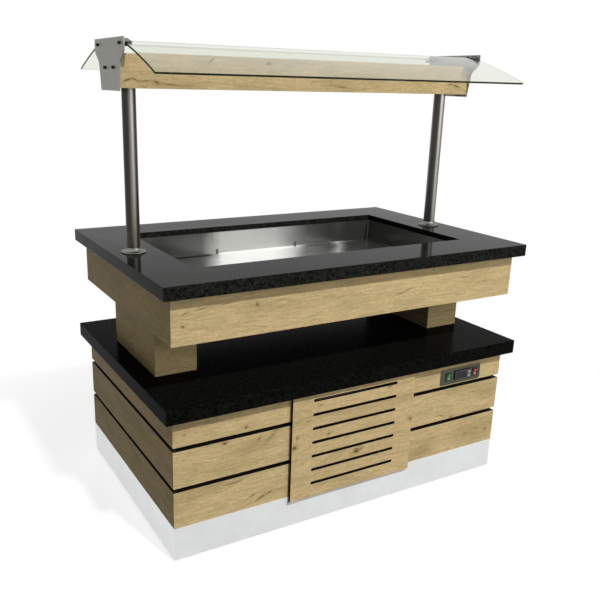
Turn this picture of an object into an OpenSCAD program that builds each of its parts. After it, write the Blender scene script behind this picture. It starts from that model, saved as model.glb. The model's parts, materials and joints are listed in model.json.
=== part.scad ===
// Mobile salad bar: a cooled well in a stone counter, a glazed canopy on two posts,
// and a slatted cabinet on hidden casters that holds the cooling machine.
// Millimetres. +X is right seen from the front, -Y is the front, and the floor is Z = 0.

/* [Cabinet] */
// Width over the cladding
cab_w = 1280; // [1100:10:1500]
// Depth over the cladding
cab_d = 800; // [740:10:900]
// Thickness of the slats, skirt boards and their mitres
slat_t = 16; // [12:1:20]
// Height of the open groove between two slats
groove_h = 13; // [6:1:20]
// Height of the lowest slat
low_slat_h = 119; // [115:1:140]
// Height of the middle slat
mid_slat_h = 119; // [90:1:140]
// Height of the top slat, which carries the control plate
top_slat_h = 88; // [75:1:120]
// Thickness of the black carcass panels behind the slats
carcass_t = 16; // [12:1:22]
// Height of the skirt boards
skirt_h = 108; // [102:1:130]
// Clearance between the skirt and the floor
floor_gap = 6; // [4:1:12]
// Thickness of the base deck
deck_t = 15; // [9:1:22]

/* [Vent door] */
// Width of the vent door
door_w = 480; // [420:5:540]
// Sideways place of the door's middle
door_x = -9; // [-60:1:40]
// Thickness of the door
door_t = 10; // [9:1:22]
// Gap between the back of the door and the slats
door_gap = 3; // [2.5:0.5:5]
// How far the door laps the slats at each side
door_lap = 20; // [15:1:35]
// How far the door hangs below the cladding
door_drop = 14; // [8:1:30]
// Gap between the door and the stone above it
door_top_gap = 8; // [6:1:14]
// Number of vent slots
slot_count = 7; // [4:1:9]
// Length of a vent slot
slot_len = 330; // [240:5:380]
// Height of a vent slot
slot_h = 10; // [6:1:14]
// Middle of the lowest slot above the door's lower edge
slot_low = 49; // [35:1:70]
// Middle of the highest slot below the door's upper edge
slot_high = 19; // [14:1:40]

/* [Lower shelf and pedestals] */
// Overhang of both stone tops past the boards below them
overhang = 30; // [15:1:45]
// Thickness of the lower stone shelf
shelf_t = 48; // [30:1:60]
// Width of a pedestal
ped_w = 138; // [130:1:170]
// Depth of a pedestal
ped_d = 372; // [320:2:420]
// Height of a pedestal
ped_h = 170; // [140:1:260]
// Inset of the pedestals from the ends of the cabinet
ped_inset = 32; // [20:1:40]
// Thickness of the pedestal boards
ped_t = 16; // [12:1:18]

/* [Counter] */
// Height of the fascia boards
fascia_h = 142; // [142:1:180]
// Thickness of the fascia boards
fascia_t = 18; // [12:1:19]
// Thickness of the stone counter slab
slab_t = 20; // [20:1:30]
// Height of the built-up stone edge below the slab
edge_h = 20; // [20:1:30]
// Width of the built-up stone edge
edge_w = 60; // [50:1:60]
// Stone left between the cut-out for the well and each end of the slab
well_end = 155; // [155:5:220]
// Stone left in front of and behind the cut-out, on average
well_side = 159; // [150:1:200]
// How far the cut-out sits behind the middle
well_y = 5; // [0:1:10]
// Depth of the well below the counter
well_depth = 105; // [80:1:105]
// Sheet thickness of the well pan
pan_t = 1.5; // [1:0.25:2.5]
// Thickness of the foam jacket
foam_t = 28; // [20:1:28]

/* [Canopy] */
// Distance from a post axis to the end of the slab
post_inset = 70; // [60:1:90]
// Outer diameter of a post
post_d = 42.4; // [38:0.1:48]
// Wall of a post
post_wall = 2; // [1.5:0.25:3]
// Height from the counter to the canopy beam
post_h = 492; // [400:2:600]
// Diameter of a post flange
flange_d = 78; // [70:1:90]
// Height of a post flange
flange_h = 16; // [12:1:30]
// How far the canopy beam runs past a post axis
beam_over = 52; // [50:1:70]
// Depth of the canopy beam
beam_d = 168; // [150:2:180]
// Height of the canopy beam
beam_h = 94; // [88:1:120]
// Thickness of the beam boards
beam_t = 16; // [12:1:18]
// Thickness of the end brackets
bracket_t = 3; // [2:0.5:6]
// Width of an end bracket at its top
bracket_top_w = 268; // [256:2:290]
// Width of an end bracket at its foot
bracket_low_w = 168; // [160:2:190]
// Height of an end bracket above the beam
bracket_rise = 42; // [40:1:60]
// Glass thickness
glass_t = 6; // [5:0.5:8]
// Reach of the front glass from the middle
front_reach = 350; // [300:2:400]
// Reach of the rear glass from the middle
rear_reach = 322; // [280:2:400]
// Bow radius of the glass
glass_r = 1800; // [1400:20:2600]
// Slope of the glass at its upper edge, in degrees
glass_slope = 14.7; // [11:0.1:18]
// Distance from the lamp to each end of the beam
lamp_inset = 152; // [130:2:250]
// Width of the lamp
lamp_w = 46; // [36:1:60]

/* [Casters] */
// Wheel diameter
wheel_d = 75; // [65:1:78]
// Wheel width
wheel_w = 25; // [20:1:30]
// Height of a caster, floor to mounting face
caster_h = 100; // [98:1:106]
// How far the axle trails the kingpin
trail = 28; // [22:1:32]

/* [Machine] */
// Diameter of the compressor
comp_d = 150; // [130:2:160]
// Height of the compressor
comp_h = 175; // [150:1:200]
// Width of the condenser
cond_w = 300; // [270:2:320]
// Height of the condenser
cond_h = 240; // [236:2:260]
// Fan diameter over its blades
fan_d = 206; // [180:2:210]
// Number of fan blades
blade_count = 5; // [3:1:7]
// Outer diameter of the drain pipe
drain_d = 22; // [18:1:22]
// Outer diameter of the evaporator tube
coil_d = 10; // [8:0.5:10]
// Passes of the evaporator tube under the pan
coil_passes = 8; // [6:2:8]

/* [Control plate] */
// Width of the control plate
ctrl_w = 186; // [180:1:200]
// Height of the control plate
ctrl_h = 58; // [50:1:64]
// Distance from the middle of the control plate to the right end of the cabinet
ctrl_inset = 190; // [130:1:200]
// Thickness of the control plate
ctrl_t = 1.5; // [1:0.25:2.5]

/* [Hidden] */
$fn = 64;

OAK = [0.77, 0.68, 0.49];
STONE = [0.08, 0.08, 0.09];
STEEL = [0.72, 0.72, 0.71];
BLACK = [0.07, 0.07, 0.07];
GREY = [0.55, 0.55, 0.53];
COPPER = [0.72, 0.42, 0.26];

eps = 0.01;           // overlap that joins two solids of one part
cut = 1;              // how far a cutter runs past what it cuts
run = 0.05;           // radial clearance of a turning shaft
slip = 0.5;           // clearance of a fixed part in its hole
arc_steps = 720;      // steps of the very large circle of the glass

// Half sizes in plan
cab_x = cab_w / 2;
cab_y = cab_d / 2;
stone_x = cab_x + overhang;
stone_y = cab_y + overhang;
carc_x = cab_x - slat_t;
carc_y = cab_y - slat_t;
in_x = carc_x - carcass_t;
in_y = carc_y - carcass_t;

// Levels, from the floor up
clad_z0 = floor_gap + skirt_h;
mid_z0 = clad_z0 + low_slat_h + groove_h;
top_slat_z0 = mid_z0 + mid_slat_h + groove_h;
clad_z1 = top_slat_z0 + top_slat_h;
shelf_z = clad_z1 + shelf_t;
ped_z = shelf_z + ped_h;
fascia_z = ped_z + fascia_h;
slab_z0 = fascia_z + edge_h;
top_z = slab_z0 + slab_t;
beam_z0 = top_z + post_h;
beam_z1 = beam_z0 + beam_h;
bracket_z1 = beam_z1 + bracket_rise;
slat_rows = [[clad_z0, mid_z0 - groove_h], [mid_z0, top_slat_z0 - groove_h], [top_slat_z0, clad_z1]];

// Base: frame on the casters, deck on the frame
tube_h = 30;
tube_w = 30;
tube_wall = 2;
member_w = 60;
frame_z1 = caster_h + tube_h;
deck_z = frame_z1 + deck_t;
carcass_z0 = 40;
caster_in = 78;
caster_x = in_x - caster_in;
caster_y = in_y - caster_in;

// Vent door and the opening behind it
door_x0 = door_x - door_w / 2;
door_x1 = door_x + door_w / 2;
door_z0 = clad_z0 - door_drop;
door_z1 = clad_z1 - door_top_gap;
door_y1 = -cab_y - door_gap;
door_y0 = door_y1 - door_t;
gap_x0 = door_x0 + door_lap;
gap_x1 = door_x1 - door_lap;
opening_rim = 20;
opening_z1 = clad_z1 - 26;
slot_pitch = (door_z1 - door_z0 - slot_low - slot_high) / (slot_count - 1);
pivot_in = 5;
pivot_reach = door_t / 2 - 1;
pivot_r = 2.5;
pivot_len = 14;
pivot_x = door_x0 + pivot_in;
pivot_y = door_y1 - door_t / 2;
pivot_plate = 2.5;
pivot_arm = 38;
pivot_rim = 8;
pivot_tab = 2;
tab_in = 12;

// Shelf, pedestals and columns
ped_x1 = cab_x - ped_inset;
ped_x0 = ped_x1 - ped_w;
col_w = 40;
col_wall = 2.5;
col_x = ped_x1 - ped_t - 2 - col_w / 2;
col_y = ped_d / 2 - ped_t - 20 - col_w / 2;
panel_t = 12;
panel_z = ped_z + panel_t;
riser_x = ped_x0 + ped_t + 11;
drain_x = ped_x0 + ped_t + 27;
riser_y = 38;
duct_y = riser_y + 12;
duct_x0 = riser_x - 10;
duct_x1 = drain_x + drain_d / 2 + 7;

// Top frame under the slab
post_x = stone_x - post_inset;
frame_x = min(stone_x - edge_w, cab_x - fascia_t) - 1;
frame_y = min(stone_y - edge_w, cab_y - fascia_t) - 1;
top_frame_z0 = slab_z0 - tube_h;
end_member_w = 60;

// Well
well_w = 2 * (stone_x - well_end);
well_d = 2 * (stone_y - well_side);
pan_x = well_w / 2 + 2;
pan_y = well_d / 2 + 2;
pan_rim = 14;
well_z = top_z - well_depth;
pan_z0 = well_z - pan_t;
coil_z = pan_z0 - coil_d / 2;
foam_z1 = slab_z0 - pan_t;
foam_z0 = pan_z0 - coil_d - foam_t;
run_z = (panel_z + foam_z0) / 2;
well_drain_x = -well_w / 2 + 65;
drain_bend = drain_d;
coil_pitch = (well_d - 80) / coil_passes;
coil_end_y = coil_pitch * (coil_passes - 1) / 2;
coil_x = well_w / 2 - 65;

// Drain valve and power inlet, on the rear
valve_z = deck_z + 35;
valve_cut = 70;
body_r = drain_d / 2 + 3;
outlet_r = 9.5;
outlet_len = 20;
stem_y = cab_y - 10;
stem_r = 4;
inlet_x = drain_x;

// Machine, on the deck behind the door
unit_x = door_x;
cond_y0 = -in_y + 30;
cond_t = 44;
cond_y1 = cond_y0 + cond_t;
tray_t = 3;
tray_z = deck_z + 12;
tray_lip = 6;
fan_z = tray_z + tray_t + cond_h / 2;
shroud_len = 46;
shaft_r = 4;
fan_y = cond_y1 + 24;
comp_x = unit_x + 74;
comp_y = cond_y1 + 90 + comp_d / 2 + 70;
comp_z = tray_z + tray_t + 12;
suction_z = comp_z + comp_h * 0.55;
liquid_z = tray_z + tray_t + cond_h - 30;
stub_len = 20;
tray_rim = 20;
motor_r = 32;
motor_len = 50;
arm_t = 4;
arm_w = 16;
blade_pitch = 28;
blade_w = 38;

// Control plate
ctrl_x = cab_x - ctrl_inset;
ctrl_z = top_slat_z0 + 4 + ctrl_h / 2;
ctrl_y = -cab_y - ctrl_t;
green_x = ctrl_x - ctrl_w / 2 + 37;
red_x = ctrl_x + ctrl_w / 2 - 25;
switch_h = ctrl_h - 30;
switch_w = 22;
bezel = 1.5;
bezel_t = 2.5;
switch_deep = 22;
window_w = switch_w - 2.4;
window_h = switch_h - 2.4;
rocker_tilt = 8;
rocker_pivot_y = ctrl_y + 2;
trunnion_r = 1.4;
therm_x = (green_x + red_x) / 2 + 3.5;
therm_w = red_x - green_x - switch_w - 25;
therm_h = ctrl_h - 23;
therm_proud = 5;
therm_deep = 55;
therm_lip = 3;
key_w = 14;
key_h = 9;
key_x = therm_x + therm_w / 2 - 12.5;
key_dz = 7;
key_gap = 0.3;

// Canopy
beam_x = post_x + beam_over;
lamp_x = beam_x - lamp_inset;
lamp_h = 33;
lamp_wall = 2;
lamp_tab = 20;
lens_t = 3;
post_r = post_d / 2;
post_top = beam_z1 - beam_t - 2;
glass_edge_y = 108;
glass_z = bracket_z1 - 10;
glass_x = beam_x - 3.5;
screw_r = 3;
screw_head_r = 4.6;
screw_head_h = 6;
clip_screw_y = 101;
clip_screw_z = glass_z - 6;
beam_screw_y = 38;
beam_screw_z = beam_z0 + 56;
block_w = 26;
clip_w = 23;
jaw = 24;
jaw_t = 3;
jaw_drop = 8;
low_jaw_t = 4;
spine_y = 18;

// Side of an end bracket, from the foot up: neck, eased flare and straight top
bracket_drop = 8;
bracket_z0 = beam_z0 - bracket_drop;
flare_z0 = bracket_z0 + 72;
flare_z1 = bracket_z1 - 31;
neck_w = bracket_low_w / 2 + 12;
flare_steps = 8;
flare = [for (i = [0 : flare_steps]) let (t = i / flare_steps)
    [neck_w + (bracket_top_w / 2 - neck_w) * ease(t), flare_z0 + (flare_z1 - flare_z0) * t]];
bracket_side = concat([[bracket_low_w / 2, bracket_z0]], flare, [[bracket_top_w / 2, bracket_z1]]);

// Casters, from the mounting face down
kingpin_r = 6;
axle_r = 5;
leg_t = 3;
race_h = 5;
race_r = 28;
plate_w = 90;
plate_t = 4;
head_z = caster_h - plate_t - race_h;
turn_gap = 0.4;
fork_top_t = 6;
fork_z1 = head_z - turn_gap;
fork_z0 = fork_z1 - fork_top_t;
axle_z = wheel_d / 2;
nut_h = 3.6;

// ---- helpers ----

module block(x0, x1, y0, y1, z0, z1) {
    translate([x0, y0, z0]) cube([x1 - x0, y1 - y0, z1 - z0]);
}

// Mirrored pair about the middle of the width
module both_x() {
    children();
    mirror([1, 0, 0]) children();
}

module both_y() {
    children();
    mirror([0, 1, 0]) children();
}

// Board of a mitred ring: the front side, from x0 to x1, where a full end is mitred
module ring_front(x, y, t, z0, z1, x0, x1) {
    a = x0 <= -x ? -x + t : x0;
    b = x1 >= x ? x - t : x1;
    translate([0, 0, z0]) linear_extrude(z1 - z0)
        polygon([[x0, -y], [x1, -y], [b, -y + t], [a, -y + t]]);
}

// Board of a mitred ring: the left end
module ring_left(x, y, t, z0, z1) {
    translate([0, 0, z0]) linear_extrude(z1 - z0)
        polygon([[-x, -y], [-x + t, -y + t], [-x + t, y - t], [-x, y]]);
}

// Profile drawn in Y and Z, run along X from x0 to x1
module along_x(x0, x1) {
    translate([x0, 0, 0]) rotate([90, 0, 90]) linear_extrude(x1 - x0) children();
}

module rod_x(r, x0, x1) {
    translate([x0, 0, 0]) rotate([0, 90, 0]) cylinder(h = x1 - x0, r = r);
}

module rod_y(r, y0, y1) {
    translate([0, y0, 0]) rotate([-90, 0, 0]) cylinder(h = y1 - y0, r = r);
}

function unit(v) = v / norm(v);

// Smooth step from 0 to 1
function ease(t) = t * t * (3 - 2 * t);

// Round bar along square-cornered points, with a bend of radius bend at each corner
module bent_rod(points, r, bend) {
    last = len(points) - 1;
    for (i = [0 : last - 1]) {
        d = unit(points[i + 1] - points[i]);
        a = points[i] + (i > 0 ? bend : 0) * d;
        b = points[i + 1] - (i < last - 1 ? bend : 0) * d;
        straight_rod(a, b, r);
        if (i < last - 1) elbow(points[i + 1], d, unit(points[i + 2] - points[i + 1]), r, bend);
    }
}

module straight_rod(a, b, r) {
    d = unit(b - a);
    tilt = acos(d[2]);
    turn = atan2(d[1], d[0]);
    translate(a) rotate([0, tilt, turn]) cylinder(h = norm(b - a), r = r);
}

// Quarter bend at corner p, from direction d to direction e
module elbow(p, d, e, r, bend) {
    u = -e;
    w = cross(u, d);
    c = p - bend * d + bend * e;
    multmatrix([
        [u[0], d[0], w[0], c[0]],
        [u[1], d[1], w[1], c[1]],
        [u[2], d[2], w[2], c[2]],
        [0, 0, 0, 1]
    ]) rotate_extrude(angle = 90) translate([bend, 0]) circle(r = r);
}

// ---- base ----

module base_frame() {
    color(GREY) difference() {
        union() {
            both_y() block(-in_x, in_x, -in_y, -in_y + tube_w, caster_h, frame_z1);
            both_x() block(in_x - tube_w, in_x, -in_y, in_y, caster_h, frame_z1);
            both_x() block(caster_x - member_w / 2, caster_x + member_w / 2, -in_y, in_y, caster_h, frame_z1);
        }
        both_y() tube_void_x(in_x, -in_y, tube_w);
        both_x() tube_void_y(in_x - tube_w, in_x);
        both_x() tube_void_y(caster_x - member_w / 2, caster_x + member_w / 2);
    }
}

// Inside of a base rail that runs along the width
module tube_void_x(x, y, w) {
    block(-x - cut, x + cut, y + tube_wall, y + w - tube_wall, caster_h + tube_wall, frame_z1 - tube_wall);
}

// Inside of a base member that runs along the depth
module tube_void_y(x0, x1) {
    block(x0 + tube_wall, x1 - tube_wall, -in_y - cut, in_y + cut,
        caster_h + tube_wall, frame_z1 - tube_wall);
}

module base_deck() {
    color(GREY) difference() {
        block(-in_x, in_x, -in_y, in_y, frame_z1, deck_z);
        both_x() both_y() block(col_x - col_w / 2 - slip, col_x + col_w / 2 + slip,
            col_y - col_w / 2 - slip, col_y + col_w / 2 + slip, frame_z1 - cut, deck_z + cut);
    }
}

module skirt_boards() {
    color([0.85, 0.86, 0.86]) {
        both_y() ring_front(cab_x, cab_y, slat_t, floor_gap, clad_z0, -cab_x, cab_x);
        both_x() ring_left(cab_x, cab_y, slat_t, floor_gap, clad_z0);
    }
}

module carcass_front() {
    color(BLACK) difference() {
        block(-carc_x, carc_x, -carc_y, -in_y, carcass_z0, clad_z1);
        block(gap_x0 + opening_rim, gap_x1 - opening_rim, -carc_y - cut, -in_y + cut, deck_z, opening_z1);
        control_cavity();
    }
}

module carcass_rear() {
    color(BLACK) difference() {
        block(-carc_x, carc_x, in_y, carc_y, carcass_z0, clad_z1);
        valve_recess();
        inlet_hole();
    }
}

module carcass_ends() {
    color(BLACK) both_x() block(in_x, carc_x, -in_y, in_y, carcass_z0, clad_z1);
}

module control_cavity() {
    block(ctrl_x - ctrl_w / 2 + 10, ctrl_x + ctrl_w / 2 - 6, -cab_y - cut, -in_y + cut,
        ctrl_z - ctrl_h / 2 + 9, ctrl_z + ctrl_h / 2 - 9);
}

module valve_recess() {
    block(-drain_x - valve_cut / 2, -drain_x + valve_cut / 2, in_y - cut, cab_y + cut,
        valve_z - 30, valve_z + 42);
}

module inlet_hole() {
    block(inlet_x - 15, inlet_x + 15, in_y - cut, cab_y + cut, valve_z - 11, valve_z + 11);
}

// ---- cladding ----

// Front slats, which stop behind the two sides of the door
module slats_front() {
    color(OAK) difference() {
        for (row = slat_rows) {
            ring_front(cab_x, cab_y, slat_t, row[0], row[1], -cab_x, gap_x0);
            ring_front(cab_x, cab_y, slat_t, row[0], row[1], gap_x1, cab_x);
        }
        control_cavity();
    }
}

module slats_ends() {
    color(OAK) both_x() for (row = slat_rows) ring_left(cab_x, cab_y, slat_t, row[0], row[1]);
}

module slats_rear() {
    color(OAK) difference() {
        mirror([0, 1, 0]) for (row = slat_rows)
            ring_front(cab_x, cab_y, slat_t, row[0], row[1], -cab_x, cab_x);
        valve_recess();
        inlet_hole();
    }
}

// ---- vent door ----

module vent_door() {
    color(OAK) difference() {
        block(door_x0, door_x1, door_y0, door_y1, door_z0, door_z1);
        for (i = [0 : slot_count - 1]) vent_slot(door_z0 + slot_low + i * slot_pitch);
        translate([pivot_x, pivot_y, door_z0 - cut]) cylinder(h = pivot_len + 1 + cut, r = pivot_r + run);
        translate([pivot_x, pivot_y, door_z1 - pivot_len - 1])
            cylinder(h = pivot_len + 1 + cut, r = pivot_r + run);
    }
}

// One slot with round ends at height z
module vent_slot(z) {
    half = slot_len / 2 - slot_h / 2;
    block(door_x - half, door_x + half, door_y0 - cut, door_y1 + cut, z - slot_h / 2, z + slot_h / 2);
    for (side = [-1, 1])
        translate([door_x + side * half, 0, z]) rod_y(slot_h / 2, door_y0 - cut, door_y1 + cut);
}

// Lower pivot on the skirt and upper pivot under the stone
module door_pivots() {
    color(STEEL) {
        lower = door_z0 - 0.5;
        block(pivot_x - pivot_rim, pivot_x + pivot_arm, pivot_y - pivot_reach, -cab_y,
            lower - pivot_plate, lower);
        block(pivot_x + tab_in, pivot_x + pivot_arm, -cab_y - pivot_tab, -cab_y, lower - eps, clad_z0 - 1);
        translate([pivot_x, pivot_y, lower - eps]) cylinder(h = pivot_len + eps, r = pivot_r);
        upper = clad_z1 - pivot_plate;
        block(pivot_x - pivot_rim - pivot_in, pivot_x + tab_in, pivot_y - pivot_reach, -cab_y,
            upper, clad_z1);
        translate([pivot_x, pivot_y, door_z1 - pivot_len])
            cylinder(h = upper + eps - door_z1 + pivot_len, r = pivot_r);
    }
}

module door_catch() {
    color(BLACK) block(gap_x1 - opening_rim + 2, gap_x1 - 2, door_y1 + 0.5, -carc_y,
        door_z1 - 80, door_z1 - 40);
}

// ---- controls ----

// Control plate with round corners, and holes for the switches and the thermostat
module control_plate() {
    corner = 8;
    color(STEEL) difference() {
        union() {
            block(ctrl_x - ctrl_w / 2 + corner, ctrl_x + ctrl_w / 2 - corner, ctrl_y, -cab_y,
                ctrl_z - ctrl_h / 2, ctrl_z + ctrl_h / 2);
            block(ctrl_x - ctrl_w / 2, ctrl_x + ctrl_w / 2, ctrl_y, -cab_y,
                ctrl_z - ctrl_h / 2 + corner, ctrl_z + ctrl_h / 2 - corner);
            for (sx = [-1, 1], sz = [-1, 1])
                translate([ctrl_x + sx * (ctrl_w / 2 - corner), 0, ctrl_z + sz * (ctrl_h / 2 - corner)])
                    rod_y(corner, ctrl_y, -cab_y);
        }
        for (x = [green_x, red_x]) plate_hole(x, switch_w + slip, switch_h + slip);
        plate_hole(therm_x, therm_w - 2 * therm_lip + slip, therm_h - 2 * therm_lip + slip);
    }
}

module plate_hole(x, w, h) {
    block(x - w / 2, x + w / 2, ctrl_y - cut, -cab_y + cut, ctrl_z - h / 2, ctrl_z + h / 2);
}

module switch_frames() {
    color(BLACK) for (x = [green_x, red_x]) difference() {
        union() {
            block(x - switch_w / 2 - bezel, x + switch_w / 2 + bezel, ctrl_y - bezel_t, ctrl_y,
                ctrl_z - switch_h / 2 - bezel, ctrl_z + switch_h / 2 + bezel);
            block(x - switch_w / 2, x + switch_w / 2, ctrl_y - eps, ctrl_y + switch_deep,
                ctrl_z - switch_h / 2, ctrl_z + switch_h / 2);
        }
        block(x - window_w / 2, x + window_w / 2, ctrl_y - 3, ctrl_y + 13,
            ctrl_z - window_h / 2, ctrl_z + window_h / 2);
        translate([0, rocker_pivot_y, ctrl_z])
            rod_x(trunnion_r + run, x - switch_w / 2 + 0.3, x + switch_w / 2 - 0.3);
    }
}

// Rocker at rest with its upper half proud, turning on two trunnions
module rocker(x) {
    half = window_h / 2 - 0.8;
    translate([0, rocker_pivot_y, ctrl_z]) rotate([rocker_tilt, 0, 0]) {
        along_x(x - window_w / 2 + 0.3, x + window_w / 2 - 0.3)
            polygon([[4, -half], [4, half], [-5.2, half], [-3.6, 0], [-5.2, -half]]);
        rod_x(trunnion_r, x - switch_w / 2 + 0.5, x + switch_w / 2 - 0.5);
    }
}

module rocker_green() {
    color([0.05, 0.4, 0.15]) rocker(green_x);
}

module rocker_red() {
    color([0.6, 0.08, 0.06]) rocker(red_x);
}

module thermostat() {
    color(BLACK) difference() {
        union() {
            block(therm_x - therm_w / 2, therm_x + therm_w / 2, ctrl_y - therm_proud, ctrl_y,
                ctrl_z - therm_h / 2, ctrl_z + therm_h / 2);
            block(therm_x - therm_w / 2 + therm_lip, therm_x + therm_w / 2 - therm_lip, ctrl_y - eps,
                ctrl_y + therm_deep, ctrl_z - therm_h / 2 + therm_lip, ctrl_z + therm_h / 2 - therm_lip);
        }
        block(therm_x - therm_w / 2 + 5, key_x - key_w / 2 - 4, ctrl_y - therm_proud - cut,
            ctrl_y - therm_proud + 0.8, ctrl_z - 11, ctrl_z + 11);
        for (side = [-1, 1])
            key_block(side, key_gap, ctrl_y - therm_proud - cut, ctrl_y + 1.5);
    }
}

module key_block(side, grow, y0, y1) {
    block(key_x - key_w / 2 - grow, key_x + key_w / 2 + grow, y0, y1,
        ctrl_z + side * key_dz - key_h / 2 - grow, ctrl_z + side * key_dz + key_h / 2 + grow);
}

module button_up() {
    color(GREY) key_block(1, 0, ctrl_y - therm_proud - 1.2, ctrl_y);
}

module button_down() {
    color(GREY) key_block(-1, 0, ctrl_y - therm_proud - 1.2, ctrl_y);
}

// ---- shelf, pedestals and frame ----

// Holes for the columns and the pipes, between two levels
module service_holes(z0, z1) {
    both_x() both_y() block(col_x - col_w / 2 - slip, col_x + col_w / 2 + slip,
        col_y - col_w / 2 - slip, col_y + col_w / 2 + slip, z0 - cut, z1 + cut);
    block(-duct_x1, -duct_x0, -duct_y, duct_y, z0 - cut, z1 + cut);
}

module lower_shelf() {
    color(STONE) difference() {
        block(-stone_x, stone_x, -stone_y, stone_y, clad_z1, shelf_z);
        service_holes(clad_z1, shelf_z);
    }
}

module pedestals() {
    inner = ped_d / 2 - ped_t;
    color(OAK) both_x() difference() {
        block(ped_x0, ped_x1, -ped_d / 2, ped_d / 2, shelf_z, ped_z);
        block(ped_x0 + ped_t, ped_x1 - ped_t, -inner, inner, shelf_z - cut, ped_z + cut);
    }
}

module support_columns() {
    inner = col_w / 2 - col_wall;
    color(GREY) both_x() both_y() difference() {
        block(col_x - col_w / 2, col_x + col_w / 2, col_y - col_w / 2, col_y + col_w / 2,
            frame_z1, top_frame_z0);
        block(col_x - inner, col_x + inner, col_y - inner, col_y + inner, frame_z1 - cut, top_frame_z0 + cut);
    }
}

module underside_panel() {
    color(BLACK) difference() {
        block(-cab_x + fascia_t, cab_x - fascia_t, -cab_y + fascia_t, cab_y - fascia_t, ped_z, panel_z);
        service_holes(ped_z, panel_z);
    }
}

module top_frame() {
    z0 = top_frame_z0;
    z1 = slab_z0;
    x0 = frame_x - end_member_w;
    color(GREY) difference() {
        union() {
            both_y() block(-frame_x, frame_x, -frame_y, -frame_y + tube_w, z0, z1);
            both_x() block(x0, frame_x, -frame_y, frame_y, z0, z1);
        }
        both_y() block(-frame_x - cut, frame_x + cut, -frame_y + tube_wall, -frame_y + tube_w - tube_wall,
            z0 + tube_wall, z1 - tube_wall);
        both_x() block(x0 + tube_wall, frame_x - tube_wall, -frame_y - cut, frame_y + cut,
            z0 + tube_wall, z1 - tube_wall);
    }
}

module fascia_front() {
    color(OAK) ring_front(cab_x, cab_y, fascia_t, ped_z, fascia_z, -cab_x, cab_x);
}

module fascia_rear() {
    color(OAK) mirror([0, 1, 0]) ring_front(cab_x, cab_y, fascia_t, ped_z, fascia_z, -cab_x, cab_x);
}

module fascia_ends() {
    color(OAK) both_x() ring_left(cab_x, cab_y, fascia_t, ped_z, fascia_z);
}

// ---- counter and well ----

module counter_slab() {
    color(STONE) difference() {
        block(-stone_x, stone_x, -stone_y, stone_y, slab_z0, top_z);
        block(-well_w / 2, well_w / 2, well_y - well_d / 2, well_y + well_d / 2, slab_z0 - cut, top_z + cut);
        both_x() translate([post_x, 0, slab_z0 - cut]) cylinder(h = slab_t + 2 * cut, r = post_r + slip);
    }
}

module counter_edges() {
    color(STONE) {
        both_y() ring_front(stone_x, stone_y, edge_w, fascia_z, slab_z0, -stone_x, stone_x);
        both_x() ring_left(stone_x, stone_y, edge_w, fascia_z, slab_z0);
    }
}

module well_pan() {
    color(STEEL) translate([0, well_y, 0]) difference() {
        union() {
            block(-pan_x - pan_t, pan_x + pan_t, -pan_y - pan_t, pan_y + pan_t, pan_z0, slab_z0);
            block(-pan_x - pan_t - pan_rim, pan_x + pan_t + pan_rim,
                -pan_y - pan_t - pan_rim, pan_y + pan_t + pan_rim, foam_z1, slab_z0);
        }
        block(-pan_x, pan_x, -pan_y, pan_y, well_z, slab_z0 + cut);
        translate([well_drain_x, 0, pan_z0 - cut]) cylinder(h = pan_t + 2 * cut, r = drain_d / 2);
    }
}

module well_insulation() {
    wall_x = pan_x + pan_t;
    wall_y = pan_y + pan_t;
    color([0.9, 0.82, 0.55]) translate([0, well_y, 0]) difference() {
        block(-wall_x - foam_t, wall_x + foam_t, -wall_y - foam_t, wall_y + foam_t, foam_z0, foam_z1);
        block(-wall_x, wall_x, -wall_y, wall_y, foam_z0 + foam_t, foam_z1 + cut);
        translate([well_drain_x, 0, foam_z0 - cut]) cylinder(h = foam_t + 2 * cut, r = drain_d / 2 + 5);
        both_y() translate([-riser_x, coil_end_y, foam_z0 - cut])
            cylinder(h = foam_t + 2 * cut, r = coil_d / 2 + 5);
    }
}

function pass_y(i) = well_y - coil_end_y + i * coil_pitch;

// Serpentine of tube between the pan and the foam
module evaporator_coil() {
    r = coil_d / 2;
    color(COPPER) {
        for (i = [0 : coil_passes - 1])
            straight_rod([-coil_x, pass_y(i), coil_z], [coil_x, pass_y(i), coil_z], r);
        for (i = [0 : coil_passes - 2]) {
            side = i % 2 == 0 ? 1 : -1;
            translate([side * coil_x, pass_y(i) + coil_pitch / 2, coil_z]) rotate([0, 0, -90 * side])
                rotate_extrude(angle = 180) translate([coil_pitch / 2, 0]) circle(r = r);
        }
    }
}

// Liquid line to the condenser and suction line to the compressor
module refrigerant_lines() {
    r = coil_d / 2;
    bend = 12;
    first_y = pass_y(0);
    last_y = pass_y(coil_passes - 1);
    liquid_y = cond_y0 + cond_t / 2;
    color(COPPER) {
        bent_rod([[-coil_x, first_y, coil_z], [-riser_x, first_y, coil_z], [-riser_x, first_y, run_z],
            [-riser_x, -riser_y, run_z], [-riser_x, -riser_y, liquid_z], [-riser_x, liquid_y, liquid_z],
            [unit_x - cond_w / 2 - stub_len, liquid_y, liquid_z]], r, bend);
        bent_rod([[-coil_x, last_y, coil_z], [-riser_x, last_y, coil_z], [-riser_x, last_y, run_z],
            [-riser_x, riser_y, run_z], [-riser_x, riser_y, suction_z], [-riser_x, comp_y, suction_z],
            [comp_x - comp_d / 2 - stub_len, comp_y, suction_z]], r, bend);
    }
}

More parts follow.
